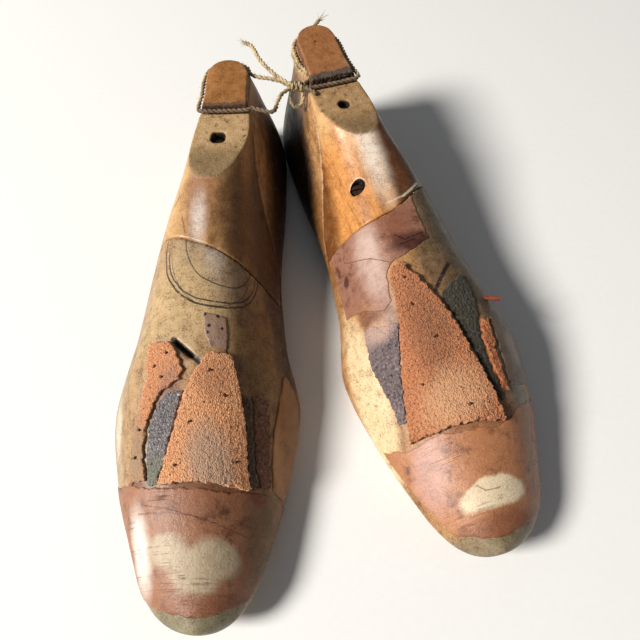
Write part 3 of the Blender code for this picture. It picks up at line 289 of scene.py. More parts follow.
def skin_places(hand, points):
    """Distance from the heel and girth from the ridge of the skin nearest to each point."""
    tree, known = SKIN_TREES[hand]
    d, g = known[[tree.find(point)[1] for point in points]].T
    reach = 0.5 * MM
    for _ in range(2):
        off = points - skin(hand, d, g)
        ahead = (skin(hand, d + reach, g) - skin(hand, d - reach, g)) / (2 * reach)
        aside = (skin(hand, d, g + reach) - skin(hand, d, g - reach)) / (2 * reach)
        aa = np.sum(ahead * ahead, axis=1) + 1e-9
        bb = np.sum(aside * aside, axis=1) + 1e-9
        ab = np.sum(ahead * aside, axis=1)
        pa = np.sum(off * ahead, axis=1)
        pb = np.sum(off * aside, axis=1)
        det = np.maximum(aa * bb - ab * ab, 1e-9)
        d = np.clip(d + np.clip((pa * bb - pb * ab) / det, -2 * MM, 2 * MM), 0, LAST_LENGTH)
        g = g + np.clip((pb * aa - pa * ab) / det, -2 * MM, 2 * MM)
    return d, g


def vertex_values(mesh, kind):
    """One triple for each vertex of a mesh: its place or its normal."""
    values = np.empty(len(mesh.vertices) * 3)
    mesh.vertices.foreach_get(kind, values)
    return values.reshape(-1, 3)


def mark_places(obj, hand):
    """Store each vertex's place in millimetres: on the skin, and across, along and up."""
    local = on_last(hand, vertex_values(obj.data, "co"))
    d, g = skin_places(hand, local)
    for name, values in (("skin", np.stack([d, g, local[:, 2]], axis=-1)), ("local", local)):
        attribute = obj.data.attributes.new(name, "FLOAT_VECTOR", "POINT")
        attribute.data.foreach_set("vector", (values / MM).ravel())
    return obj


def stand(name, data):
    """A new object in the scene."""
    obj = bpy.data.objects.new(name, data)
    bpy.context.scene.collection.objects.link(obj)
    return obj


def mesh_object(name, points, faces, weld=0.0):
    """An object at the origin from points in the row's frame."""
    builder = bmesh.new()
    verts = [builder.verts.new(point) for point in points]
    for face in faces:
        builder.faces.new([verts[i] for i in face])
    if weld:
        bmesh.ops.remove_doubles(builder, verts=builder.verts, dist=weld)
    bmesh.ops.recalc_face_normals(builder, faces=builder.faces)
    mesh = bpy.data.meshes.new(name)
    builder.to_mesh(mesh)
    builder.free()
    mesh.shade_smooth()
    return stand(name, mesh)


def turned_form(name, hand):
    """The whole last before any cut, finely divided."""
    loops = FORMS[hand]["loops"]
    rows, count = loops.shape[:2]
    faces = []
    for row in range(rows - 1):
        for column in range(count):
            a = row * count + column
            b = row * count + (column + 1) % count
            faces.append((a, b, b + count, a + count))
    return mesh_object(name, in_row(hand, loops.reshape(-1, 3)), faces, weld=0.02 * MM)


def extrusion(name, hand, outline, low, high, upright=False):
    """A cutter from an outline of (along, up) drawn across, or of (across, along) drawn upright."""
    points = []
    for end in (low, high):
        for a, b in outline:
            points.append((a, b, end) if upright else (end, a, b))
    count = len(outline)
    faces = [tuple(range(count)), tuple(range(2 * count - 1, count - 1, -1))]
    for i in range(count):
        j = (i + 1) % count
        faces.append((i, j, j + count, i + count))
    return mesh_object(name, in_row(hand, np.array(points)), faces)


def cut(obj, cutter, operation="DIFFERENCE"):
    """Apply a Boolean at once and remove the cutter."""
    boolean = obj.modifiers.new(cutter.name, "BOOLEAN")
    boolean.operation = operation
    boolean.solver = "EXACT"
    boolean.object = cutter
    settle(obj)
    bpy.data.objects.remove(cutter)


def settle(obj):
    """Replace the mesh by its modified shape."""
    graph = bpy.context.evaluated_depsgraph_get()
    graph.update()
    mesh = bpy.data.meshes.new_from_object(obj.evaluated_get(graph))
    obj.modifiers.clear()
    obj.data = mesh


def remake(obj, size, rounds):
    """Remake the mesh in even small faces and round its edges."""
    remesh = obj.modifiers.new("even", "REMESH")
    remesh.mode = "VOXEL"
    remesh.voxel_size = size
    soften = obj.modifiers.new("soften", "SMOOTH")
    soften.factor = 0.5
    soften.iterations = rounds
    settle(obj)


def weather(obj, size, rounds, rough, rough_size):
    """Remake the mesh and make its surface uneven."""
    remake(obj, size, rounds)

    def unevenness(place):
        near = place / rough_size
        return (noise.noise(near) + 0.5 * noise.noise(near * 2.3)) * rough

    push(obj, unevenness)
    obj.data.shade_smooth()


def push(obj, distance):
    """Move each vertex along its normal by the distance a function gives for its place."""
    mesh = obj.data
    places = vertex_values(mesh, "co")
    normals = vertex_values(mesh, "normal")
    shift = np.array([distance(Vector(place)) for place in places])
    places += normals * shift[:, None]
    mesh.vertices.foreach_set("co", places.ravel())
    mesh.update()


def crown_height(hand, d, drop=0.0):
    return CROWN_HEIGHT[hand] - CROWN_FALL * d - drop


def block_space(hand, name, grow):
    """The scoop block's space, grown into the last by a clearance."""
    rear = CROWN_FRONT if grow else CROWN_FRONT + TWINE_DIAMETER + 2 * LEATHER_FIT
    far = SEAT[-1][0]
    places = np.arange(rear, far, 2 * MM)
    seat = [(d, float(smooth(SEAT, d)) - grow) for d in places]
    outline = [(rear, ABOVE)] + seat + [(far, SEAT[-1][1] - grow), (far, ABOVE)]
    space = extrusion(name, hand, outline, -ASIDE, ASIDE)
    places = np.arange(-ASIDE, 61 * MM, 2 * MM)
    front = [(across, float(smooth(BLOCK_FRONT[hand], across)) + grow) for across in places]
    front += [(ASIDE, LAST_LENGTH), (-ASIDE, LAST_LENGTH)]
    cut(space, extrusion(name + "_front", hand, front, -CLEAR_BELOW, CLEAR_ABOVE, upright=True))
    return space


def groove(hand, name, start, end, width, depth):
    """A thin upright cutter between two places on the skin."""
    ends = skin(hand, np.array([start[0], end[0]]), np.array([start[1], end[1]]))
    way = ends[1, :2] - ends[0, :2]
    side = np.array([-way[1], way[0]]) / np.linalg.norm(way) * width / 2
    near, far = ends[:, :2]
    outline = [near + side, far + side * 0.7, far - side * 0.7, near - side]
    low = ends[:, 2].min() - depth
    return extrusion(name, hand, outline, low, low + 30 * MM, upright=True)


def build_last(hand):
    """The wooden last with its crown cut, the seat of its block and the slot in its instep."""
    body = turned_form(hand + "_last_wood", hand)
    back = -20 * MM
    front = CROWN_FRONT + 30 * MM
    drop = CAP_THICKNESS[hand] + FIT
    edges = ((back, crown_height(hand, back, drop)), (front, crown_height(hand, front, drop)))
    above = edges + ((front, ABOVE), (back, ABOVE))
    cut(body, extrusion(hand + "_above", hand, above, -ASIDE, ASIDE))
    cut(body, block_space(hand, hand + "_bed", FIT))
    cut(body, groove(hand, hand + "_slot", *SLOT[hand]))
    weather(body, WOOD_GRAIN_SIZE, 2, 0.1 * MM, 14 * MM)
    return mark_places(body, hand)


class Wire:
    """A value on its way between shader nodes, so that sums are written as sums."""

    def __init__(self, socket):
        self.socket = socket
        self.tree = socket.id_data

    def __add__(self, other):
        return calculate("ADD", self, other)

    def __sub__(self, other):
        return calculate("SUBTRACT", self, other)

    def __rsub__(self, other):
        return calculate("SUBTRACT", other, self)

    def __mul__(self, other):
        return calculate("MULTIPLY", self, other)

    def __truediv__(self, other):
        return calculate("DIVIDE", self, other)

    def step(self, low, high):
        """0 below low and 1 above high, soft between; high may be the lower one."""
        inputs = {"Value": self, "From Min": low, "From Max": high}
        node = shader(self.tree, "MapRange", inputs, interpolation_type="SMOOTHSTEP")
        return Wire(node.outputs["Result"])

    def noise(self, scale, detail=2.0, roughness=0.5, output="Fac"):
        inputs = {"Vector": self, "Scale": scale, "Detail": detail, "Roughness": roughness}
        return Wire(shader(self.tree, "TexNoise", inputs).outputs[output])

    def cells(self, scale=1.0, feature="F1"):
        """Cells strewn over a place: the node with their distance and their random colour."""
        inputs = {"Vector": self, "Scale": scale}
        return shader(self.tree, "TexVoronoi", inputs, feature=feature)

    def part(self, axis):
        return Wire(shader(self.tree, "SeparateXYZ", {"Vector": self}).outputs[axis])


def plug(node, inputs):
    """Link or set a node's inputs, given by name or number."""
    for key, value in dict(inputs).items():
        if isinstance(value, Wire):
            value.tree.links.new(value.socket, node.inputs[key])
        else:
            node.inputs[key].default_value = value


def shader(tree, kind, inputs=(), **settings):
    """A shader node with its settings and inputs."""
    node = tree.nodes.new("ShaderNode" + kind)
    for name, value in settings.items():
        setattr(node, name, value)
    plug(node, inputs)
    return node


def tree_of(*values):
    return next(value.tree for value in values if isinstance(value, Wire))


def calculate(operation, *values, output=0, clamp=False):
    """A node of maths on numbers and wires, for vectors where its first wire is one."""
    first = next(value for value in values if isinstance(value, Wire))
    if first.socket.type == "VALUE":
        node = shader(first.tree, "Math", enumerate(values), operation=operation, use_clamp=clamp)
    else:
        node = shader(first.tree, "VectorMath", enumerate(values), operation=operation)
    return Wire(node.outputs[output])


def over(base, colour, mask):
    """A colour laid over another where the mask says."""
    tree = tree_of(mask, base, colour)
    return Wire(shader(tree, "Mix", {0: mask, 6: base, 7: colour}, data_type="RGBA").outputs[2])


def srgb(red, green, blue):
    """A colour as it looks in the photograph, from 0 to 1, to a shader's linear colour."""
    values = (red, green, blue)
    linear = [v / 12.92 if v <= 0.04045 else ((v + 0.055) / 1.055) ** 2.4 for v in values]
    return (*linear, 1.0)


def node_group(name, effect, inputs):
    """A node group around an effect, which turns the inputs' wires into named wires."""
    tree = bpy.data.node_groups.new(name, "ShaderNodeTree")
    for label, kind in inputs.items():
        tree.interface.new_socket(label, in_out="INPUT", socket_type="NodeSocket" + kind)
    given = tree.nodes.new("NodeGroupInput").outputs
    made = effect(*(Wire(given[label]) for label in inputs))
    kinds = {"VALUE": "Float", "VECTOR": "Vector", "RGBA": "Color"}
    for label, wire in made.items():
        kind = "NodeSocket" + kinds[wire.socket.type]
        tree.interface.new_socket(label, in_out="OUTPUT", socket_type=kind)
    plug(tree.nodes.new("NodeGroupOutput"), made)
    return tree


def use(group, **inputs):
    """A node group at work on inputs; gives its outputs by name."""
    node = tree_of(*inputs.values()).nodes.new("ShaderNodeGroup")
    node.node_tree = group
    plug(node, inputs)
    return {socket.name: Wire(socket) for socket in node.outputs}


def wander(place, amount, size):
    """A place shifted by soft noise, so that marks have uneven edges."""
    centred = (place / size).noise(1.0, 3.0, 0.6, "Color") - (0.5, 0.5, 0.5)
    return {"Place": centred * amount * (2.0, 2.0, 0.0) + place}


def patch(place, amount, size, centre, reach, edge):
    """A soft oval patch on the skin with an uneven edge."""
    moved = use(WANDER, Place=place, Amount=amount, Size=size)["Place"]
    away = calculate("LENGTH", (moved - centre) / reach, output="Value")
    return {"Mask": away.step(edge + 1.0, 1.0 - edge)}


def line_mark(place, amount, size, start, end, width):
    """A line between two places on the skin."""
    moved = use(WANDER, Place=place, Amount=amount, Size=size)["Place"]
    from_start = moved * (1.0, 1.0, 0.0) - start
    way = end - start
    onto = calculate("DOT_PRODUCT", from_start, way, output="Value")
    length = calculate("DOT_PRODUCT", way, way, output="Value")
    nearest = way * calculate("DIVIDE", onto, length, clamp=True)
    away = calculate("DISTANCE", from_start, nearest, output="Value")
    return {"Mask": away.step(width * 0.5, width * 0.2)}


def ring_mark(place, amount, size, centre, reach, width):
    """The lower half of an oval line on the skin."""
    moved = use(WANDER, Place=place, Amount=amount, Size=size)["Place"]
    away = (moved - centre) / reach
    off = calculate("ABSOLUTE", calculate("LENGTH", away, output="Value") - 1.0) * reach.part("Y")
    return {"Mask": off.step(width, width * 0.3) * away.part("X").step(-0.25, 0.1)}


def specks(place, spacing, radius, share):
    """Small round specks of uneven size, strewn over the surface."""
    cells = (place / spacing).cells().outputs
    luck = shader(place.tree, "SeparateColor", {"Color": Wire(cells["Color"])}).outputs
    reach = (Wire(luck["Green"]) * 0.8 + 0.6) * radius
    dot = (Wire(cells["Distance"]) * spacing).step(reach, reach * 0.5)
    return {"Mask": dot * calculate("LESS_THAN", Wire(luck["Red"]), share)}


def wood_grain(local, colour, dark):
    """Fine beech grain along the last: darker fibres, short flecks and pores."""
    fine = (local * (0.9, 0.05, 0.9)).noise(1.0, 4.0, 0.7)
    wide = (local * (0.16, 0.014, 0.16)).noise(1.0, 3.0, 0.6)
    fleck = (local * (2.6, 0.35, 2.6)).noise(1.0, 1.0, 0.5).step(0.66, 0.76)
    streaked = over(colour, dark, (fine * 0.55 + wide * 0.65).step(0.5, 0.85))
    return {"Colour": over(streaked, dark, fleck * 0.6), "Height": fine * 0.08 - fleck * 0.05}


def grime(local, colour, amount):
    """Fine speckle of dirt and wear: a colour darkened and paled grain by grain."""
    tone = local.noise(1.5, 5.0, 0.85) + local.noise(0.2, 4.0, 0.7) * 0.5 - 0.25
    darkened = over(colour, colour * (0.34, 0.30, 0.26), tone.step(0.52, 0.36) * amount)
    pale = over(colour, (0.80, 0.72, 0.60, 1.0), 0.5)
    return {"Colour": over(darkened, pale, tone.step(0.55, 0.72) * amount * 0.55)}


UNEVEN_PLACE = {"Place": "Vector", "Amount": "Float", "Size": "Float"}
OVAL = {"Centre": "Vector", "Reach": "Vector"}
ANY_HEIGHT = 1e4
WANDER = node_group("wander", wander, UNEVEN_PLACE)
PATCH = node_group("patch", patch, {**UNEVEN_PLACE, **OVAL, "Edge": "Float"})
LINE = node_group(
    "line mark", line_mark, {**UNEVEN_PLACE, "Start": "Vector", "End": "Vector", "Width": "Float"}
)
RING = node_group("ring mark", ring_mark, {**UNEVEN_PLACE, **OVAL, "Width": "Float"})
SPECKS = node_group(
    "specks", specks, {"Place": "Vector", "Spacing": "Float", "Radius": "Float", "Share": "Float"}
)
WOOD_GRAIN = node_group(
    "wood grain", wood_grain, {"Local": "Vector", "Colour": "Color", "Dark": "Color"}
)
GRIME = node_group("grime", grime, {"Local": "Vector", "Colour": "Color", "Amount": "Float"})


def new_material(name, *attributes):
    """A material, and the wires of the places on a last that its meshes store."""
    material = bpy.data.materials.new(name)
    material.use_nodes = True
    tree = material.node_tree
    stored = [shader(tree, "Attribute", attribute_name=label) for label in attributes]
    return (material, *(Wire(node.outputs["Vector"]) for node in stored))


def place_in_space(material):
    return Wire(shader(material.node_tree, "TexCoord").outputs["Object"])


def finished(material, colour, roughness, height):
    """The material with a colour, a roughness and a height in millimetres."""
    tree = material.node_tree
    bump = shader(tree, "Bump", {"Height": height, "Distance": MM, "Strength": 1.0})
    surface = {"Normal": Wire(bump.outputs["Normal"]), "Base Color": colour, "Roughness": roughness}
    plug(tree.nodes["Principled BSDF"], surface)
    return material


def oval(centre, reach, **rest):
    """Inputs of an oval mark on the skin, which counts at any height."""
    return {"Centre": (*centre, 0), "Reach": (*reach, ANY_HEIGHT), **rest}


def patches(place, colour, marks):
    """Lay soft patches over a colour: centre, reach, edge, unevenness, colour and strength."""
    for centre, reach, edge, uneven, tint, strength in marks:
        size = max(5.0, uneven * 3.0)
        shape = oval(centre, reach, Edge=edge)
        mask = use(PATCH, Place=place, Amount=uneven, Size=size, **shape)["Mask"]
        colour = over(colour, srgb(*tint), mask * strength)
    return colour


def lines(place, colour, marks):
    """Lay thin lines over a colour: places, width, unevenness, colour and strength."""
    for points, width, uneven, tint, strength in marks:
        for start, end in zip(points, points[1:]):
            ends = {"Start": (*start, 0), "End": (*end, 0), "Width": width}
            mask = use(LINE, Place=place, Amount=uneven, Size=3.0, **ends)["Mask"]
            colour = over(colour, srgb(*tint), mask * strength)
    return colour


def nail_holes(*holes):
    """Marks of empty nail holes, each a place and a radius."""
    return tuple((hole[:2], hole[2:] * 2, 0.3, 0.2, (0.07, 0.05, 0.04), 0.95) for hole in holes)


def soiled(local, colour, amount):
    return use(GRIME, Local=local, Colour=colour, Amount=amount)["Colour"]


def specked(local, spacing, radius, share):
    return use(SPECKS, Place=local, Spacing=spacing, Radius=radius, Share=share)["Mask"]


def wood_material(name, pale, dark, marks, thin_marks, rings_drawn=()):
    """Stained and varnished wood with the marks of one last, some of them painted shade and painted
    highlight.
    """
    material, on_skin, local = new_material(name, "skin", "local")
    grain = use(WOOD_GRAIN, Local=local, Colour=srgb(*pale), Dark=srgb(*dark))
    colour = patches(on_skin, grain["Colour"], marks)
    mottle = local.noise(0.5, 5.0, 0.75).step(0.52, 0.8)
    colour = over(colour, srgb(0.36, 0.27, 0.18), mottle * 0.4)
    colour = lines(on_skin, colour, thin_marks)
    for centre, reach, width, tint, strength in rings_drawn:
        shape = oval(centre, reach, Width=width)
        mask = use(RING, Place=on_skin, Amount=0.7, Size=9.0, **shape)["Mask"]
        faint = local.noise(0.8, 2.0).step(0.25, 0.45)
        colour = over(colour, srgb(*tint), mask * (faint * strength))
    colour = soiled(local, colour, 0.95)
    dots = specked(local, 5.5, 0.35, 0.22)
    colour = over(colour, srgb(0.22, 0.14, 0.1), dots * 0.8)
    roughness = local.noise(0.12, 4.0, 0.6) * 0.5 + 0.22
    height = grain["Height"] - dots * 0.25 + local.noise(0.35, 4.0, 0.6) * 0.12
    return finished(material, colour, roughness, height)


def dress(obj, material, body, node, slot):
    """Give a piece its material, hang it on the empty of the body it rides on, and hide the part it
    stands for.
    """
    obj.data.materials.append(material)
    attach(obj, body)
    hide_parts(node)


LEFT_WOOD = wood_material(
    "left_wood",
    (0.70, 0.56, 0.39),
    (0.50, 0.35, 0.21),
    (
        # Painted shade with dark stain: the little-toe flank, which faces the other last and turns
        # from the light
        ((70, -92), (75, 42), 0.25, 4.0, (0.13, 0.07, 0.04), 0.92),
        ((140, -56), (60, 20), 0.4, 4.0, (0.20, 0.10, 0.05), 0.9),
        ((206, 6), (24, 6), 0.5, 3.0, (0.60, 0.44, 0.37), 0.85),
        ((241, 0), (5, 40), 0.5, 3.0, (0.48, 0.30, 0.20), 0.9),
        ((290, -4), (3.5, 14), 0.5, 2.0, (0.78, 0.72, 0.60), 0.6),
        ((288, 14), (3, 7), 0.5, 2.0, (0.20, 0.20, 0.15), 0.6),
        # Painted highlight: a grey-white sheen down the instep ridge
        ((143, -5), (12, 4.5), 0.6, 3.0, (0.90, 0.89, 0.92), 0.75),
    )
    + nail_holes((163, -7, 0.8), (167, -8, 0.7), (172, -4, 0.8), (172, -10, 0.9))
    + nail_holes((177, -13, 0.7), (159, 1, 0.7), (160, -3, 0.8), (159, 20, 0.6))
    + (
        ((146, -6), (20, 24), 0.6, 3.0, (0.53, 0.45, 0.36), 0.75),
        ((178, -32), (24, 15), 0.4, 3.0, (0.50, 0.38, 0.22), 0.85),
        ((166, 12), (26, 20), 0.6, 3.0, (0.78, 0.66, 0.48), 0.85),
        ((190, 44), (60, 14), 0.4, 3.0, (0.66, 0.56, 0.43), 0.75),
        ((212, 38), (12, 5), 0.5, 3.0, (0.84, 0.80, 0.72), 0.7),
        ((184, 46), (14, 4), 0.5, 3.0, (0.80, 0.74, 0.64), 0.6),
        ((288, 0), (9, 45), 0.5, 4.0, (0.50, 0.47, 0.36), 0.85),
    ),
    (
        (((137, -17), (144, -24)), 0.9, 0.3, (0.13, 0.12, 0.1), 0.9),
        # Painted shade: black along the slot cut into the instep
        (((183, 8), (194, -8)), 3.2, 0.3, (0.06, 0.04, 0.04), 0.95),
        (((139, -40), (149, -48)), 1.6, 0.5, (0.3, 0.06, 0.05), 0.9),
        (((176, -14.5), (188, -18), (191, -20)), 1.3, 0.4, (0.12, 0.06, 0.04), 0.95),
    ),
    (
        ((133, -6), (34.5, 26.5), 0.6, (0.10, 0.09, 0.10), 0.95),
        ((136, -6), (29, 24), 0.5, (0.10, 0.09, 0.10), 0.9),
        ((132, -9), (24, 18), 0.45, (0.12, 0.11, 0.11), 0.8),
        ((131, -5), (36.5, 22), 0.3, (0.16, 0.15, 0.14), 0.6),
    ),
)
# Dried paste along the right seam, on the last and on its block
SEAM_PASTE = (0.86, 0.82, 0.72)
RIGHT_WOOD = wood_material(
    "right_wood",
    (0.74, 0.55, 0.35),
    (0.52, 0.34, 0.18),
    (
        # Painted shade with dark stain: the little-toe flank, lying in the other last's shadow
        ((60, -88), (80, 42), 0.22, 4.0, (0.14, 0.09, 0.07), 0.93),
        ((290, 2), (3.5, 16), 0.5, 2.0, (0.74, 0.66, 0.52), 0.6),
        ((122, -50), (30, 16), 0.4, 4.0, (0.56, 0.36, 0.16), 0.85),
        # Painted shade with olive stain: the big-toe side, turned from the light
        ((160, 28), (62, 20), 0.35, 4.0, (0.38, 0.32, 0.24), 0.92),
        ((175, 8), (16, 8), 0.4, 3.0, (0.42, 0.33, 0.23), 0.85),
        ((184, -30), (22, 12), 0.4, 3.0, (0.52, 0.34, 0.25), 0.9),
        ((240, 5), (12, 30), 0.5, 3.0, (0.56, 0.36, 0.24), 0.85),
        ((215, -50), (47, 11), 0.3, 2.0, (0.90, 0.79, 0.62), 0.95),
        ((188, -36), (5, 8), 0.5, 2.0, (0.80, 0.64, 0.52), 0.7),
        ((225, 26), (20, 9), 0.4, 3.0, (0.52, 0.50, 0.42), 0.8),
        ((288, 0), (9, 45), 0.5, 4.0, (0.50, 0.45, 0.35), 0.85),
    ),
    (
        # Painted shade: dark red-brown along the slot cut into the instep
        (((187, 1.5), (175, 15)), 2.4, 0.2, (0.14, 0.04, 0.03), 0.95),
        (((139.5, -1), (137, 8), (133, 14), (127.5, 20)), 1.6, 0.5, SEAM_PASTE, 0.9),
    ),
)
for hand, material in (("left", LEFT_WOOD), ("right", RIGHT_WOOD)):
    dress(build_last(hand), material, "lasts", hand + "_last_body", hand + "_wood")

# Scoop blocks
# The loose instep pieces, sawn from the same wood, each with a flat facet where a hook pulls it
# out through a hole. The left one is smoky brown, the right one keeps its orange varnish.
FACET_REAR_HEIGHT = 69.6 * MM
FACET_FALL = 0.05
FACET_LENGTH = 75 * MM
HOOK_HOLE_PLACE = {"left": (69.5 * MM, 2 * MM), "right": (67.5 * MM, 1 * MM)}
HOOK_HOLE_ACROSS = {"left": 7.4 * MM, "right": 6.4 * MM}
HOOK_HOLE_SQUARENESS = {"left": 3.6, "right": 2.2}
SCREW_PLACE = (114 * MM, -6 * MM)
SCREW_HEAD_DEPTH = 9 * MM
SCREW_HEAD = 6.4 * MM
BLOCK_GRAIN_SIZE = 0.7 * MM
OVER_HOLES = 0.1


def facet_height(d):
    return FACET_REAR_HEIGHT - FACET_FALL * (d - CROWN_FRONT)


def round_outline(centre, across, squareness=2.0, count=32):
    """A round or squarish outline of (across, along) about a centre."""
    outline = []
    for turn in np.linspace(0, 2 * math.pi, count, endpoint=False):
        c, s = math.cos(turn), math.sin(turn)
        reach = across / 2 / (abs(c) ** squareness + abs(s) ** squareness) ** (1 / squareness)
        outline.append((centre[0] + reach * c, centre[1] + reach * s))
    return outline


def build_block(hand):
    """The block kept from the turned form, with its facet and its holes."""
    block = turned_form(hand + "_block_wood", hand)
    cut(block, block_space(hand, hand + "_keep", 0.0), "INTERSECT")
    end = CROWN_FRONT + FACET_LENGTH
    above = ((0, facet_height(0)), (end, facet_height(end)), (end, ABOVE), (0, ABOVE))
    cut(block, extrusion(hand + "_facet", hand, above, -ASIDE, ASIDE))
    hole_d, hole_s = HOOK_HOLE_PLACE[hand]
    outline = round_outline((hole_s, hole_d), HOOK_HOLE_ACROSS[hand], HOOK_HOLE_SQUARENESS[hand])
    cut(block, extrusion(hand + "_hook", hand, outline, 0, OVER_HOLES, upright=True))
    if hand == "right":
        d, s = SCREW_PLACE
        top = float(smooth(RIDGE_HEIGHT, d)) - SCREW_HEAD_DEPTH
        outline = round_outline((s, d), SCREW_HEAD + 2 * FIT)
        cut(block, extrusion("screw_room", hand, outline, top - 3 * MM, OVER_HOLES, upright=True))
    weather(block, BLOCK_GRAIN_SIZE, 2, 0.08 * MM, 10 * MM)
    return mark_places(block, hand)


def block_material(name, pale, dark, facet, holes, marks, thin_marks, rough):
    """Wood with a duller, rougher facet round the hook hole, and painted shade inside its holes."""
    material, on_skin, local = new_material(name, "skin", "local")
    grain = use(WOOD_GRAIN, Local=local, Colour=srgb(*pale), Dark=srgb(*dark))
    colour = patches(on_skin, grain["Colour"], marks)
    along = local.part("Y")
    plane = along * -FACET_FALL + (FACET_REAR_HEIGHT + FACET_FALL * CROWN_FRONT) / MM
    below = plane - local.part("Z")
    on_facet = (below + local.noise(0.6, 4.0, 0.7) * 0.9).step(1.5, 0.6)
    mottle = local.noise(0.22, 5.0, 0.7)
    tint = over(srgb(*facet), srgb(0.76, 0.65, 0.49), mottle.step(0.52, 0.72))
    tint = over(tint, srgb(0.40, 0.31, 0.20), mottle.step(0.46, 0.32))
    tint = over(tint, srgb(0.44, 0.35, 0.22), along.step(70, 84) * 0.7)
    colour = over(colour, tint, on_facet)
    # Painted shade: near-black inside each hole, deeper than its given depth below the facet
    for place, reach, depth in holes:
        away = calculate("LENGTH", (local - (*place, 0)) * (1, 1, 0), output="Value")
        inside = away.step(reach + 0.6, reach) * below.step(depth, depth + 1.2)
        colour = over(colour, srgb(0.09, 0.05, 0.03), inside)
    colour = soiled(local, lines(on_skin, colour, thin_marks), 0.65)
    colour = over(colour, srgb(0.3, 0.2, 0.12), specked(local, 3.6, 0.3, 0.2) * 0.6)
    varnish = local.noise(0.1, 4.0, 0.6) * 0.4 + (rough - 0.18)
    roughness = calculate("ADD", on_facet * 0.35, varnish, clamp=True)
    rasped = local.noise(0.9, 5.0, 0.75) * on_facet
    height = rasped * 0.5 + grain["Height"] + local.noise(0.3, 3.0, 0.6) * 0.1
    return finished(material, colour, roughness, height)


LEFT_BLOCK_WOOD = block_material(
    "left_block_wood",
    (0.72, 0.54, 0.34),
    (0.50, 0.33, 0.17),
    (0.76, 0.62, 0.44),
    (((2, 69.5), 4.0, 0.3),),
    (
        # Painted shade with dark stain: the little-toe side, turned from the light
        ((106, -42), (54, 20), 0.35, 4.0, (0.26, 0.14, 0.06), 0.92),
        ((116, -15), (26, 13), 0.5, 3.0, (0.42, 0.29, 0.16), 0.85),
        ((105, 4), (23, 7), 0.6, 2.0, (0.58, 0.38, 0.24), 0.75),
        # Painted highlight along the ridge
        ((123, 3.5), (11, 3.4), 0.9, 1.5, (0.93, 0.88, 0.84), 0.7),
        ((98, 24), (42, 12), 0.5, 4.0, (0.82, 0.67, 0.47), 0.7),
        ((101, -37), (2.4, 1.8), 0.4, 0.6, (0.16, 0.07, 0.05), 0.9),
    ),
    (
        (((111, 19), (108, 16)), 1.6, 0.5, (0.34, 0.2, 0.1), 0.7),
        (((121, 12), (129, 10)), 1.2, 0.5, (0.38, 0.22, 0.1), 0.6),
    ),
    0.4,
)
RIGHT_BLOCK_WOOD = block_material(
    "right_block_wood",
    (0.84, 0.58, 0.32),
    (0.62, 0.38, 0.17),
    (0.69, 0.54, 0.36),
    (((1, 67.5), 3.6, 0.4), ((-6, 114), 3.5, 2.8)),
    (
        # Painted shade with dark stain: the little-toe side, in the other last's shadow
        ((92, -54), (60, 21), 0.25, 4.0, (0.40, 0.22, 0.08), 0.9),
        # Painted shade with dark-brown stain: the big-toe side from the ridge down, turned from the
        # light
        ((110, 12.5), (50, 10), 0.3, 3.5, (0.33, 0.18, 0.09), 0.93),
        # Painted highlight along the ridge
        ((109, -0.5), (22, 5.4), 0.9, 1.8, (0.98, 0.92, 0.85), 0.9),
        # Painted shade with olive stain: the far big-toe side
        ((108, 34), (50, 15), 0.4, 3.0, (0.28, 0.24, 0.17), 0.92),
        ((72, -22), (18, 9), 0.5, 3.0, (0.86, 0.72, 0.52), 0.7),
    ),
    ((((137.5, -1), (135.5, 8), (131.5, 14), (126, 20)), 1.4, 0.5, SEAM_PASTE, 0.8),),
    0.34,
)
for hand, material in (("left", LEFT_BLOCK_WOOD), ("right", RIGHT_BLOCK_WOOD)):
    block = hand + "_block"
    dress(build_block(hand), material, block, hand + "_scoop_block", block + "_wood")

# Crown leathers
# A lift of thick sole leather glued and nailed to each crown. The left one is smooth and
# orange-brown, and the right one is thicker, scuffed, and dark and frayed along its front.
CAP_GRAIN_SIZE = 0.5 * MM
CAP_FRAYING = {"left": 0.25 * MM, "right": 0.7 * MM}


def leather_grain(place, size):
    """Fine pores and creases of worn smooth leather."""
    near = place / size
    fine = near.noise(1.4, 5.0, 0.7)
    pores = Wire(near.cells(feature="SMOOTH_F1").outputs["Distance"])
    tone = fine * 0.5 + near.noise(0.15, 3.0, 0.6) * 0.5
    return {"Height": fine * 0.10 + pores * 0.06, "Tone": tone}


LEATHER_GRAIN = node_group("leather grain", leather_grain, {"Place": "Vector", "Size": "Float"})


def build_cap(hand):
    """The slab of leather over the crown, cut from the last's own form."""
    cap = turned_form(hand + "_crown_cap", hand)
    back = -20 * MM
    rim = [(d, crown_height(hand, d)) for d in (back, CROWN_FRONT)]
    rim += [(d, crown_height(hand, d, CAP_THICKNESS[hand])) for d in (CROWN_FRONT, back)]
    cut(cap, extrusion(hand + "_slab", hand, rim, -ASIDE, ASIDE), "INTERSECT")
    weather(cap, CAP_GRAIN_SIZE, 3, 0.12 * MM, 5 * MM)

    def fraying(place):
        along = on_last(hand, np.array(place))[1]
        front = max(0.0, 1 - (CROWN_FRONT - along) / (5 * MM))
        if not front:
            return 0.0
        torn = noise.noise(place / (1.1 * MM)) + 0.6 * noise.noise(place / (0.5 * MM))
        return (torn - 0.5) * CAP_FRAYING[hand] * front

    push(cap, fraying)
    return mark_places(cap, hand)


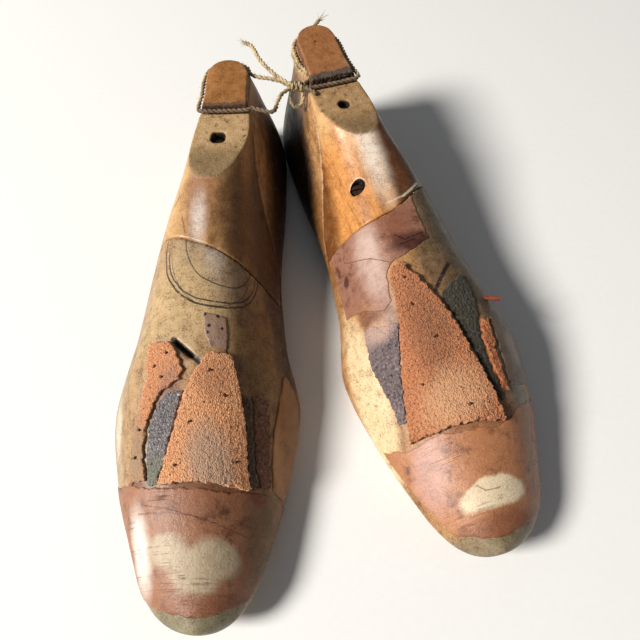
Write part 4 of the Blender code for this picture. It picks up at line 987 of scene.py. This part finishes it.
def cap_material(name, hand, colour, dark, edge_colour, edge_reach, marks):
    """Sole leather, darker and rougher towards the front edge and down its sides."""
    material, local = new_material(name, "local")
    grain = use(LEATHER_GRAIN, Place=local, Size=0.7)
    tint = over(srgb(*colour), srgb(*dark), grain["Tone"].step(0.5, 0.75))
    tint = patches(local, tint, marks)
    edge = CROWN_FRONT / MM - edge_reach
    along = local.part("Y")
    front = (along + local.noise(0.5, 4.0, 0.7) * 6.0).step(edge + 2.6, edge + 4)
    tint = over(tint, srgb(*edge_colour), front)
    top = along * -CROWN_FALL + CROWN_HEIGHT[hand] / MM
    below = (top - local.part("Z")).step(0.5, 1.6)
    layers = (local * (0.2, 0.2, 2.5)).noise(1.0, 3.0, 0.6).step(0.4, 0.6)
    side = over(srgb(0.42, 0.27, 0.17), srgb(0.25, 0.16, 0.11), layers)
    tint = soiled(local, over(tint, side, below * 0.75), 0.7)
    tint = over(tint, srgb(0.28, 0.15, 0.08), specked(local, 2.4, 0.22, 0.3) * 0.6)
    worn = local.noise(0.2, 4.0, 0.7) * 0.5 + 0.22
    roughness = calculate("ADD", front * 0.4, worn, clamp=True)
    height = local.noise(1.6, 4.0, 0.8) * 0.25 + grain["Height"]
    return finished(material, tint, roughness, height)


LEFT_CAP_LEATHER = cap_material(
    "left_cap_leather",
    "left",
    (0.63, 0.42, 0.21),
    (0.44, 0.27, 0.12),
    (0.40, 0.28, 0.20),
    2.0,
    # Painted highlight: paler orange on the big-toe side of the cap, which faces the light
    (((15, 30), (9, 14), 0.6, 3.0, (0.80, 0.55, 0.33), 0.6),),
)
RIGHT_CAP_LEATHER = cap_material(
    "right_cap_leather",
    "right",
    (0.64, 0.42, 0.24),
    (0.42, 0.25, 0.14),
    (0.34, 0.28, 0.24),
    4.5,
    (((20, 40), (9, 9), 0.6, 4.0, (0.72, 0.62, 0.50), 0.6),),
)
for hand, material in (("left", LEFT_CAP_LEATHER), ("right", RIGHT_CAP_LEATHER)):
    dress(build_cap(hand), material, "lasts", hand + "_crown_leather", hand + "_cap_leather")

# Smooth leathers
# Thin upper leather glued over the toes, the left joint and the right instep, skived at its edges
# and rubbed by many shoes. The toes are scratched across, with bare cream patches near the tips.
SUNK = -0.4 * MM
# Without a seed, Blender draws the offsets of its noise vectors anew in each run
NOISE_SEED = 5
noise.seed_set(NOISE_SEED)


def leather_piece(name, size, rounds, high, ragged, ragged_size, nap, nap_size):
    """A fitting remade from its solid, pressed to a height over the wood, with uneven edges."""
    hand = name.split("_")[0]
    piece = stand(name + "_worn", nodes[name].data.copy())
    piece.data.materials.clear()
    remake(piece, size, rounds)
    mesh = piece.data
    local = on_last(hand, vertex_values(mesh, "co"))
    d, g = skin_places(hand, local)
    out = skin_outward(hand, d, g)
    height = np.sum((local - skin(hand, d, g)) * out, axis=1)
    lowest, highest = np.percentile(height, (3, 97))
    share = np.clip((height - lowest) / (highest - lowest), -0.2, 1.2)
    places = [Vector(place) for place in local]
    wavy = np.array([
        noise.noise_vector(p / ragged_size) + 0.5 * noise.noise_vector(p / ragged_size * 2.7)
        for p in places
    ])
    d = d + wavy[:, 0] * ragged
    g = g + wavy[:, 1] * ragged
    rough = np.array(
        [noise.noise(p / nap_size) + 0.6 * noise.noise(p / nap_size * 2.1) for p in places]
    )
    height = SUNK + (high - SUNK) * share + nap * rough * np.clip(share, 0, 1)
    placed = in_row(hand, skin(hand, d, g) + skin_outward(hand, d, g) * height[:, None])
    mesh.vertices.foreach_set("co", placed.ravel())
    mesh.update()
    mesh.shade_smooth()
    return mark_places(piece, hand)


def smooth_leather(name, colour, dark, marks, thin_marks, scratched):
    """Upper leather polished by wear: blotched, finely pored and scratched across, with painted
    highlights and shade among its marks.
    """
    material, on_skin, local = new_material(name, "skin", "local")
    grain = use(LEATHER_GRAIN, Place=local, Size=0.9)
    blotched = local.noise(0.11, 5.0, 0.65).step(0.50, 0.72)
    tint = over(srgb(*colour), srgb(*dark), blotched)
    tint = over(tint, srgb(*dark), grain["Tone"].step(0.54, 0.72) * 0.7)
    tint = lines(on_skin, patches(on_skin, tint, marks), thin_marks)
    scrape = (local * (0.05, 1.9, 0.05)).noise(1.0, 4.0, 0.7).step(0.55, 0.70)
    scrape = scrape * local.noise(0.07, 2.0).step(0.42, 0.6) * scratched
    tint = soiled(local, over(tint, srgb(*dark), scrape), 0.4)
    tint = over(tint, srgb(0.25, 0.13, 0.08), specked(local, 2.2, 0.2, 0.14) * 0.6)
    roughness = local.noise(0.3, 5.0, 0.7) * 0.4 + 0.22
    height = local.noise(0.8, 5.0, 0.7) * 0.2 + grain["Height"] + scrape * -0.12
    return finished(material, tint, roughness, height)


SMOOTH_LEATHERS = (
    (
        "left_toe_leather",
        "toe_leather",
        (0.60, 0.40, 0.28),
        (0.38, 0.23, 0.15),
        (
            # Painted highlight with some pale wear: the white sheen on the big-toe side
            ((262, 24), (14, 6), 0.6, 2.5, (0.95, 0.91, 0.87), 0.85),
            ((264, 10), (5.5, 9), 0.3, 2.0, (0.72, 0.64, 0.53), 0.97),
            ((266, -11), (6.5, 9.5), 0.3, 2.0, (0.72, 0.64, 0.53), 0.97),
            ((271.5, -1), (8, 10), 0.25, 2.0, (0.72, 0.64, 0.53), 0.97),
            ((251, -40), (15, 6), 0.6, 2.5, (0.58, 0.47, 0.31), 0.85),
            # Painted shade with olive stain: the little-toe side, darker away from the light
            ((262, -36), (28, 10), 0.5, 3.0, (0.46, 0.34, 0.20), 0.8),
            ((241, -34), (3, 4), 0.5, 1.5, (0.48, 0.15, 0.10), 0.7),
            ((283, -10), (5, 20), 0.5, 3.0, (0.50, 0.31, 0.20), 0.6),
        ),
        (
            (((247, 18), (254, -6)), 0.8, 0.5, (0.40, 0.18, 0.11), 0.8),
            (((249, 22), (257, -27)), 0.7, 0.6, (0.40, 0.18, 0.11), 0.6),
        ),
        0.9,
    ),
    (
        "right_toe_leather",
        "toe_leather",
        (0.70, 0.47, 0.32),
        (0.46, 0.28, 0.18),
        (
            # Painted highlight: a pink-lilac sheen on the little-toe side
            ((251, -26), (18, 9), 0.5, 3.0, (0.78, 0.62, 0.58), 0.6),
            ((271, 1), (5.5, 15), 0.15, 1.6, (0.90, 0.82, 0.69), 0.96),
            ((284, 2), (6, 22), 0.5, 3.0, (0.48, 0.28, 0.18), 0.75),
            ((246, 26), (14, 8), 0.6, 3.0, (0.62, 0.42, 0.28), 0.5),
        ),
        (
            (((267, -6), (270, -2), (270, 4)), 0.7, 0.8, (0.55, 0.42, 0.33), 0.7),
            (((245, -10), (246, -8)), 2.6, 0.6, (0.36, 0.36, 0.40), 0.8),
        ),
        0.7,
    ),
    (
        "left_inner_joint_leather",
        "joint_leather",
        (0.62, 0.42, 0.25),
        (0.46, 0.29, 0.16),
        (
            ((200, -61), (22, 6), 0.6, 3.0, (0.50, 0.43, 0.28), 0.6),
            ((222, -46), (14, 4), 0.6, 2.0, (0.82, 0.62, 0.42), 0.6),
        ),
        (),
        0.3,
    ),
    (
        "right_outer_joint_leather",
        "joint_leather",
        (0.48, 0.38, 0.31),
        (0.26, 0.20, 0.15),
        (((213, 30), (6, 4), 0.6, 3.0, (0.70, 0.60, 0.56), 0.6),),
        (),
        0.4,
    ),
    (
        "right_instep_leather",
        "instep_leather",
        (0.60, 0.42, 0.34),
        (0.38, 0.21, 0.14),
        (
            # Painted highlight: a white-lilac sheen down the middle
            ((156, -21), (18, 8), 0.6, 4.0, (0.80, 0.69, 0.64), 0.75),
            ((160, 3), (5, 11), 0.5, 3.0, (0.24, 0.09, 0.06), 0.85),
            ((148, -2), (9, 9), 0.5, 3.0, (0.52, 0.30, 0.20), 0.6),
            ((178, -42), (9, 12), 0.5, 3.0, (0.66, 0.47, 0.34), 0.6),
            ((152, -41), (3, 2.5), 0.4, 0.8, (0.22, 0.08, 0.05), 0.8),
        ),
        (
            (((139.5, -1), (137, 8), (133, 14)), 1.6, 0.5, SEAM_PASTE, 0.9),
            (((155, -4), (159, 0), (157, 10)), 1.0, 0.6, (0.20, 0.06, 0.05), 0.9),
            (((161, -4), (160, 5)), 1.0, 0.6, (0.20, 0.06, 0.05), 0.9),
            (((143, -38), (155, -22), (167, -11)), 0.7, 0.8, (0.42, 0.18, 0.12), 0.7),
            (((174, -40), (181, -30), (187, -21)), 0.9, 0.8, (0.36, 0.15, 0.10), 0.8),
        ),
        0.5,
    ),
    (
        "left_instep_patch",
        "worn_leather",
        (0.60, 0.48, 0.41),
        (0.40, 0.30, 0.23),
        (((163, -7), (9, 9), 0.7, 2.0, (0.55, 0.45, 0.31), 0.9),)
        + nail_holes((167, -8, 0.7), (172, -4, 0.8), (172, -10, 0.9))
        + nail_holes((177, -13, 0.7), (177, -7, 0.8), (180, -7, 0.7)),
        (),
        0.4,
    ),
)
for name, slot, *looks in SMOOTH_LEATHERS:
    piece = leather_piece(
        name, 0.6 * MM, 3, 0.5 * MM, 0.7 * MM, 5.0 * MM, 0.05 * MM, 2.2 * MM
    )
    dress(piece, smooth_leather(name, *looks), "lasts", name, slot)

# Rough leathers
# Sole and split leather built up on the foreparts with its flesh side out: thick orange pads that
# have gone to crumbs, grey and dark strips beside them, and brown pieces with torn edges.


def rough_leather(name, colour, dark, pale, grain_size, nap, marks):
    """Leather gone to crumbs: grains of three tones, with painted highlight on the raised grains
    and painted shade in the pits between them.
    """
    material, on_skin, local = new_material(name, "skin", "local")
    grains = local.noise(0.7 / grain_size, 6.0, 0.78)
    crumbs = Wire(local.cells(1.1 / grain_size, "SMOOTH_F1").outputs["Distance"])
    # Painted highlight and shade over real tone: darker on low grains and in the pits between
    # crumbs, paler on raised grains
    tint = over(srgb(*colour), srgb(*dark), grains.step(0.50, 0.36))
    tint = over(tint, srgb(*pale), grains.step(0.54, 0.68))
    tint = patches(on_skin, tint, marks)
    tint = over(tint, srgb(*dark), crumbs.step(0.55, 0.9) * 0.6)
    dots = specked(local, 3.1, 0.42, 0.3)
    tint = over(tint, srgb(0.14, 0.09, 0.07), dots * 0.85)
    plug(material.node_tree.nodes["Principled BSDF"], {"Sheen Weight": 0.15})
    return finished(material, tint, grains * 0.3 + 0.68, dots * -0.4 + (grains - crumbs) * nap)


# Each with its slot, three tones, size of grain, depth of nap and marks, and then how ragged its
# edges are, the depth of its fuzz and its height over the wood, in millimetres
ROUGH_LEATHERS = (
    (
        "left_centre_pad",
        "suede",
        ((0.93, 0.66, 0.46), (0.60, 0.35, 0.21), (0.99, 0.86, 0.68), 0.6, 0.6),
        (
            ((232, -12), (13, 9), 0.5, 3.0, (0.74, 0.62, 0.53), 0.75),
            ((199, -13), (9, 7), 0.5, 3.0, (0.66, 0.43, 0.29), 0.5),
        ),
        (0.9, 0.26, 3.3),
    ),
    (
        "right_centre_pad",
        "suede",
        ((0.80, 0.51, 0.33), (0.44, 0.23, 0.13), (0.94, 0.69, 0.47), 0.7, 0.8),
        (
            ((205, -10), (24, 8), 0.7, 4.0, (0.46, 0.30, 0.21), 0.5),
            ((233, -8), (11, 14), 0.6, 3.0, (0.90, 0.70, 0.53), 0.6),
        ),
        (1.2, 0.34, 3.3),
    ),
    (
        "left_outer_leather",
        "rough_leather",
        ((0.85, 0.58, 0.40), (0.56, 0.33, 0.20), (0.95, 0.76, 0.58), 0.55, 0.5),
        (
            ((228, 20), (14, 7), 0.6, 3.0, (0.60, 0.52, 0.42), 0.75),
            ((204, 5), (9, 5), 0.5, 3.0, (0.68, 0.50, 0.42), 0.6),
        ),
        (1.0, 0.16, 1.6),
    ),
    (
        "left_inner_brown_strip",
        "rough_leather",
        ((0.50, 0.34, 0.25), (0.20, 0.13, 0.11), (0.72, 0.52, 0.42), 1.3, 0.6),
        (),
        (1.1, 0.16, 0.9),
    ),
    (
        "right_outer_torn_strip",
        "rough_leather",
        ((0.72, 0.42, 0.24), (0.36, 0.18, 0.10), (0.88, 0.64, 0.44), 0.9, 0.7),
        (),
        (1.4, 0.22, 1.2),
    ),
    (
        "left_outer_strip",
        "grey_leather",
        ((0.52, 0.49, 0.49), (0.14, 0.16, 0.20), (0.92, 0.92, 0.94), 0.7, 0.8),
        (((239, 12), (9, 7), 0.5, 3.0, (0.50, 0.51, 0.40), 0.55),),
        (0.9, 0.14, 0.9),
    ),
    (
        "right_inner_strip",
        "grey_leather",
        ((0.46, 0.40, 0.40), (0.10, 0.10, 0.14), (0.74, 0.67, 0.67), 1.0, 0.8),
        (((187, -31), (7, 11), 0.5, 3.0, (0.80, 0.66, 0.60), 0.8),),
        (1.0, 0.15, 0.9),
    ),
    (
        "left_inner_dark_strip",
        "dark_leather",
        ((0.34, 0.29, 0.23), (0.11, 0.12, 0.10), (0.58, 0.48, 0.40), 1.1, 0.7),
        (),
        (0.9, 0.15, 0.9),
    ),
    (
        "right_outer_dark_strip",
        "dark_leather",
        ((0.24, 0.22, 0.17), (0.07, 0.08, 0.06), (0.46, 0.38, 0.30), 1.2, 0.8),
        (),
        (1.2, 0.18, 0.9),
    ),
)
for name, slot, looks, marks, sizes in ROUGH_LEATHERS:
    ragged, fuzz, height = (size * MM for size in sizes)
    piece = leather_piece(name, 0.45 * MM, 2, height, ragged, 2.6 * MM, fuzz, 0.9 * MM)
    dress(piece, rough_leather(name, *looks, marks), "lasts", name, slot)

# Tacks, screw and pegs
# Small wrought tacks hold the pads, a slotted wood screw sits deep in the right block, and a
# turned peg of reddish wood stands out of the right last. The steel has rusted dark brown.
TACK_SHRINK = 0.62
TACK_SINK = {"pad": 0.35 * MM, "leather": 0.9 * MM, "crown": 0.3 * MM}


def rusted_steel():
    """Dark rust over dull steel."""
    (material,) = new_material("rusted_steel")
    rust = place_in_space(material).noise(900.0, 5.0, 0.7)
    tint = over(srgb(0.20, 0.15, 0.13), srgb(0.38, 0.22, 0.14), rust.step(0.45, 0.65))
    plug(material.node_tree.nodes["Principled BSDF"], {"Metallic": 0.35})
    return finished(material, tint, rust * 0.4 + 0.4, rust * 0.1)


def peg_stick(name, colour, dark):
    """Split wood with its fibres along the peg."""
    (material,) = new_material(name)
    fibres = (place_in_space(material) * (150.0, 2000.0, 2000.0)).noise(1.0, 4.0, 0.6)
    tint = over(srgb(*colour), srgb(*dark), fibres.step(0.4, 0.65))
    return finished(material, tint, fibres * 0.2 + 0.55, fibres * 0.12)


RUSTED_STEEL = rusted_steel()
PEG_WOODS = {
    "right_side_peg": peg_stick("peg_wood", (0.62, 0.30, 0.21), (0.38, 0.15, 0.10)),
    "left_block_peg": peg_stick("dowel_wood", (0.80, 0.68, 0.50), (0.62, 0.48, 0.32)),
}


def driven_tack(name):
    """A tack with a head worn small and driven flush, made from its solid."""
    mesh = nodes[name].data.copy()
    places = np.array([vertex.co for vertex in mesh.vertices])
    centre = places.mean(axis=0)
    axis = np.linalg.svd(places - centre)[2][0]
    if np.dot(axis, (0, 0, 1)) < 0:
        axis = -axis
    along = (places - centre) @ axis
    radial = places - centre - along[:, None] * axis
    sink = TACK_SINK[name.split("_")[1]]
    worn = centre + radial * TACK_SHRINK + (along - sink)[:, None] * axis
    mesh.vertices.foreach_set("co", worn.ravel())
    mesh.materials.clear()
    dress(stand(name + "_driven", mesh), RUSTED_STEEL, "lasts", name, "steel")


for name, node in nodes.items():
    if "tack" in name:
        driven_tack(name)
    elif "screw" in name:
        node.data.materials[0] = RUSTED_STEEL
    elif name in PEG_WOODS:
        node.data.materials[0] = PEG_WOODS[name]

# Twine
# Two-ply hemp twine, hand laid, once cream and now dirty. A loop goes round each crown, and
# both meet in a small knot between the lasts, with a bow under it and two fraying ends.
TWINE_LEVEL = 70.7 * MM
TAIL_LEVEL = TWINE_LEVEL - 1.25 * TWINE_DIAMETER
TWINE_OFF = TWINE_DIAMETER / 2 + LEATHER_FIT
PLY_RADIUS = 0.68 * MM
PLY_OFFSET = 0.50 * MM
PLY_PITCH = 5.2 * MM
KNOT_CENTRE = (-5.3 * MM, 101.3 * MM, 71 * MM)
KNOT_TURNS = 3


def unit(rows):
    return rows / np.linalg.norm(rows, axis=1)[:, None]


def crown_route(hand, level):
    """The twine's line round the crown at a level: little-toe side, heel's back, big-toe side."""
    turns = np.linspace(0, math.pi / 2, 6)
    places = np.concatenate([HEEL_ROUND[0][1] * (1 - np.cos(turns)), [42 * MM, 60 * MM]])
    angles = np.linspace(0, math.pi / 2, 97)
    outline = []
    for side, run in (("little", places[::-1]), ("big", places[1:])):
        for d in run:
            edge = section(hand, d, angles)[side]
            outline.append([np.interp(level, edge[:, 2], edge[:, k]) for k in (0, 1)])
    outline = np.array(outline)
    tangent = np.gradient(outline, axis=0)
    return outline + unit(np.stack([tangent[:, 1], -tangent[:, 0]], axis=-1)) * TWINE_OFF


def at_level(hand, route, level):
    """Places in the row's frame for a flat route round a last."""
    places = np.array([(across, along, level) for across, along in route])
    return [tuple(place) for place in in_row(hand, places)]


def crown_loop(hand, first):
    """Route round the crown from a place on the little-toe side, ending in the notch before it."""
    route = crown_route(hand, TWINE_LEVEL)
    middle = int(np.argmin(route[:, 1]))
    little = route[: middle + 1]
    big = route[middle + 1:]
    path = [p for p in little if p[1] < first] + [p for p in big if p[1] < CROWN_FRONT - 4 * MM]
    wide = np.interp(CROWN_FRONT, big[:, 1], big[:, 0])
    narrow = np.interp(CROWN_FRONT, little[::-1, 1], little[::-1, 0])
    corner = TWINE_OFF * (math.sqrt(2) - 1)
    front = CROWN_FRONT + TWINE_OFF
    path += [
        (wide, CROWN_FRONT + corner),
        (wide - TWINE_OFF + corner, front),
        (narrow + TWINE_OFF - corner, front),
        (narrow, CROWN_FRONT + corner),
    ]
    return at_level(hand, path, TWINE_LEVEL)


def from_knot(*places):
    """Places given in millimetres from the knot's centre."""
    return [tuple(k + p * MM for k, p in zip(KNOT_CENTRE, place)) for place in places]


def even_route(points, step):
    """Places at even steps on a smooth curve through the points, and its length."""
    places = np.array(points, dtype=float)
    apart = np.linalg.norm(np.diff(places, axis=0), axis=1)
    run = np.concatenate([[0.0], np.cumsum(np.sqrt(apart))])
    slopes = np.gradient(places, run, axis=0)
    u = np.linspace(0, 1, 13)[1:, None]
    fine = [places[:1]]
    for i in range(len(apart)):
        span = run[i + 1] - run[i]
        fine.append(curve(places[i], places[i + 1], slopes[i], slopes[i + 1], span, u))
    fine = np.concatenate(fine)
    travelled = np.concatenate([[0.0], np.cumsum(np.linalg.norm(np.diff(fine, axis=0), axis=1))])
    marks = np.linspace(0, travelled[-1], max(3, round(travelled[-1] / step) + 1))
    even = np.stack([np.interp(marks, travelled, fine[:, k]) for k in range(3)], axis=-1)
    return even, travelled[-1]


def directions(route):
    """Directions along a route, and two across it that twist as little as they can."""
    ways = unit(np.gradient(route, axis=0))
    across = np.cross(ways[0], (0.13, 0.41, 0.9))
    sides = []
    for way in ways:
        across = across - way * np.dot(across, way)
        across = across / np.linalg.norm(across)
        sides.append((across, np.cross(way, across)))
    return ways, np.array(sides)


def tube(route, radii, sides, points, faces):
    """Add a closed tube along a route to lists of points and faces."""
    first = len(points)
    for place, (across, up), radius in zip(route, directions(route)[1], radii):
        for turn in np.linspace(0, 2 * math.pi, sides, endpoint=False):
            points.append(place + (across * math.cos(turn) + up * math.sin(turn)) * radius)
    last = first + (len(route) - 1) * sides
    for row in range(first, last, sides):
        for k in range(sides):
            j = (k + 1) % sides
            faces.append((row + k, row + j, row + sides + j, row + sides + k))
    faces.append(tuple(range(first + sides - 1, first - 1, -1)))
    faces.append(tuple(range(last, last + sides)))


def yarn(name, seed, route, ends=()):
    """Two plies wound round a route, with loose fibres; ends lists those that come apart."""
    route, length = even_route(route, 0.5 * MM)
    ways, sides = directions(route)
    travelled = np.linspace(0, length, len(route))
    chance = np.random.default_rng(seed)
    points, faces = [], []
    wobble = 1 + 0.16 * np.sin(travelled / (1.9 * MM) + seed) * np.sin(travelled / (0.83 * MM))
    for ply in (0, math.pi):
        turn = travelled / PLY_PITCH * 2 * math.pi + ply
        offset = sides[:, 0] * np.cos(turn)[:, None] + sides[:, 1] * np.sin(turn)[:, None]
        tube(route + offset * PLY_OFFSET, PLY_RADIUS * wobble, 10, points, faces)
    obj = mesh_object(name, points, faces)
    points, faces = [], []
    for _ in range(round(length / (0.8 * MM))):
        i = int(chance.integers(1, len(route) - 2))
        turn = chance.uniform(0, 2 * math.pi)
        out = sides[i, 0] * math.cos(turn) + sides[i, 1] * math.sin(turn)
        lean = ways[i] * chance.uniform(-1, 1)
        reach = chance.uniform(0.6, 1.8) * MM
        u = np.linspace(0, 1, 5)[:, None]
        bend = chance.uniform(-0.5, 0.5, 3)
        hair = route[i] + out * 0.8 * MM + (out * 0.8 + lean) * reach * u + bend * reach * u * u
        tube(hair, [0.04 * MM] * 5, 3, points, faces)
    for end in ends:
        tip, way = route[end], ways[end]
        for _ in range(26):
            spread = chance.uniform(-1, 1, 3)
            reach = chance.uniform(2.0, 5.5) * MM
            u = np.linspace(0, 1, 7)[:, None]
            hair = tip - way * 1.5 * MM + spread * 0.35 * MM
            hair = hair + way * reach * u + spread * reach * 0.55 * u * u
            tube(hair, np.linspace(0.14, 0.05, 7) * MM, 4, points, faces)
    fibres = mesh_object(name + "_fibres", points, faces)
    for piece in (obj, fibres):
        piece.data.materials.append(HEMP)
        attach(piece, "lasts")
    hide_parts("twine_" + name)
    if name.endswith("_loop"):
        for piece in (obj, fibres):
            mark_places(piece, name.split("_")[0])
    return obj, fibres, [tuple(place) for place in route], length


def hemp():
    """Fibrous hemp, cream where the sun bleached it, and darker grey where it runs in the notch
    before each crown.
    """
    material, local = new_material("hemp", "local")
    place = place_in_space(material)
    fine = place.noise(2600.0, 4.0, 0.7)
    tint = over(srgb(0.86, 0.77, 0.60), srgb(0.62, 0.53, 0.38), fine.step(0.42, 0.62))
    dirt = place.noise(130.0, 3.0, 0.6).step(0.45, 0.6)
    tint = over(tint, srgb(0.48, 0.42, 0.31), dirt * 0.7)
    # Darker grey where the twine runs in the notch in front of the crown
    buried = local.part("Y").step(CROWN_FRONT / MM - 1.0, CROWN_FRONT / MM + 0.8)
    tint = over(tint, srgb(0.36, 0.28, 0.23), buried * 0.8)
    return finished(material, tint, fine * 0.1 + 0.85, fine * 0.15)


def knot_route():
    """Windings of the knot: turns round the line between the two loops."""
    places = []
    for turn in np.linspace(0, KNOT_TURNS * 2 * math.pi, 40):
        share = turn / (KNOT_TURNS * 2 * math.pi)
        places.append((6.4 * (share - 0.5), 1.75 * math.cos(turn), 1.6 * math.sin(turn)))
    return from_knot(*places)


HEMP = hemp()
left_loop = yarn(
    "left_loop",
    1,
    from_knot((-3.4, 0.7, -0.5), (-10.0, 6.4, -0.5))
    + crown_loop("left", 26 * MM)
    + from_knot((-13.0, -18.5, -0.4), (-10.6, -11.0, -0.5), (-8.2, -4.8, -0.6), (-3.4, -0.7, -0.4)),
)
right_loop = yarn(
    "right_loop",
    2,
    from_knot((3.4, 0.7, 0.6), (7.2, 6.6, 0.4))
    + crown_loop("right", 32 * MM)
    + from_knot((10.0, -6.6, -0.3), (7.6, -4.0, 0), (3.4, -0.7, 0)),
)
left_tail_places = ((-3.4, 0.1, 1.2), (-9.5, 5.2, 2.0), (-14.4, 11.6, 2.4), (-18.2, 17.0, 3.0))
left_end_places = ((-20.8, 22.2, 3.4), (-22.6, 27.8, 3.2), (-24.6, 33.0, 2.8), (-28.0, 36.4, 2.6))
left_tail = yarn("left_tail", 3, from_knot(*left_tail_places, *left_end_places), (-1,))
side = crown_route("right", TAIL_LEVEL)
side = [p for p in side[: int(np.argmin(side[:, 1])) + 1] if 4 * MM < p[1] < 32 * MM]
right_tail = yarn(
    "right_tail",
    4,
    from_knot((3.4, 1.2, -1.2), (7.0, 6.8, -2.0))
    + at_level("right", side, TAIL_LEVEL)
    + from_knot((12.0, 51.5, 1.0), (14.5, 53.5, 3.0)),
    (-1,),
)
bow_down = ((-2.1, -0.3, -2.1), (-3.3, -1.9, -5.5), (-3.1, -4.1, -7.7))
bow_up = ((1.7, -5.1, -7.7), (2.9, -2.7, -5.5), (2.1, -0.3, -2.1))
bow = yarn("bow", 5, from_knot(*bow_down, (-0.6, -5.7, -9.0), *bow_up))
knot = yarn("knot", 6, knot_route())
for (cord, fibres, path, length), far_end, lay, carried in (
    (left_loop, "knot", "taut", [*knot[:2], *bow[:2]]),
    (right_loop, "knot", "taut", []),
    (left_tail, "bare", "loose", []),
    (right_tail, "bare", "loose", []),
):
    [fibres] + carried

# Camera
# Above the toes, looking down over the heels; place, aim and lens fitted to the photograph.
CAMERA_PLACE = Vector((0.58 * MM, -158.92 * MM, 269.1 * MM))
CAMERA_AIM = Vector((0.08 * MM, -15.12 * MM, 20 * MM))
CAMERA_ROLL = -0.059
camera_data = bpy.data.cameras.new("photo_camera")
camera_data.sensor_fit = "HORIZONTAL"
camera_data.sensor_width = 36.0
camera_data.lens = 31.53
camera_data.clip_start = 0.01
camera = stand("photo_camera", camera_data)
ahead = (CAMERA_AIM - CAMERA_PLACE).normalized()
level = ahead.cross(Vector((0, 0, 1))).normalized()
above = level.cross(ahead)
to_right = level * math.cos(CAMERA_ROLL) + above * math.sin(CAMERA_ROLL)
to_top = above * math.cos(CAMERA_ROLL) - level * math.sin(CAMERA_ROLL)
pose = Matrix((to_right, to_top, -ahead)).transposed().to_4x4()
pose.translation = CAMERA_PLACE
camera.matrix_world = pose
bpy.context.scene.camera = camera

# Light and floor
# A soft key from the left, as the sun comes in the photograph, a weak even fill and a pale floor.
KEY_PLACE = Vector((-2.3, -0.75, 2.0))
KEY_SIZE = 0.9
KEY_POWER = 150.0
FILL_STRENGTH = 0.14
key_data = bpy.data.lights.new("key", "AREA")
key_data.shape = "DISK"
key_data.size = KEY_SIZE
key_data.energy = KEY_POWER
key_data.color = (1.0, 0.96, 0.90)
key = stand("key", key_data)
key.location = KEY_PLACE
key.rotation_euler = (-KEY_PLACE).to_track_quat("-Z", "Y").to_euler()

world = bpy.data.worlds.new("studio")
world.use_nodes = True
bpy.context.scene.world = world
tree = world.node_tree
fill = tree.nodes["Background"]
plug(fill, {"Color": (0.9, 0.95, 1.0, 1.0), "Strength": FILL_STRENGTH})
white = shader(tree, "Background", {"Color": (1, 1, 1, 1), "Strength": 1.0})
seen = Wire(shader(tree, "LightPath").outputs["Is Camera Ray"])
mix = shader(tree, "MixShader", {0: seen, 1: Wire(fill.outputs[0]), 2: Wire(white.outputs[0])})
plug(tree.nodes["World Output"], {"Surface": Wire(mix.outputs[0])})

floor_mesh = bpy.data.meshes.new("floor")
floor_mesh.from_pydata([(-3, -3, 0), (3, -3, 0), (3, 3, 0), (-3, 3, 0)], [], [(0, 1, 2, 3)])
(floor_paint,) = new_material("floor_paint")
grit = place_in_space(floor_paint).noise(300.0)
tone = over((0.86, 0.86, 0.85, 1), (0.90, 0.90, 0.89, 1), grit)
plug(floor_paint.node_tree.nodes["Principled BSDF"], {"Base Color": tone, "Roughness": 0.9})
floor_mesh.materials.append(floor_paint)
stand("floor", floor_mesh)

bpy.context.scene.view_settings.view_transform = "Standard"
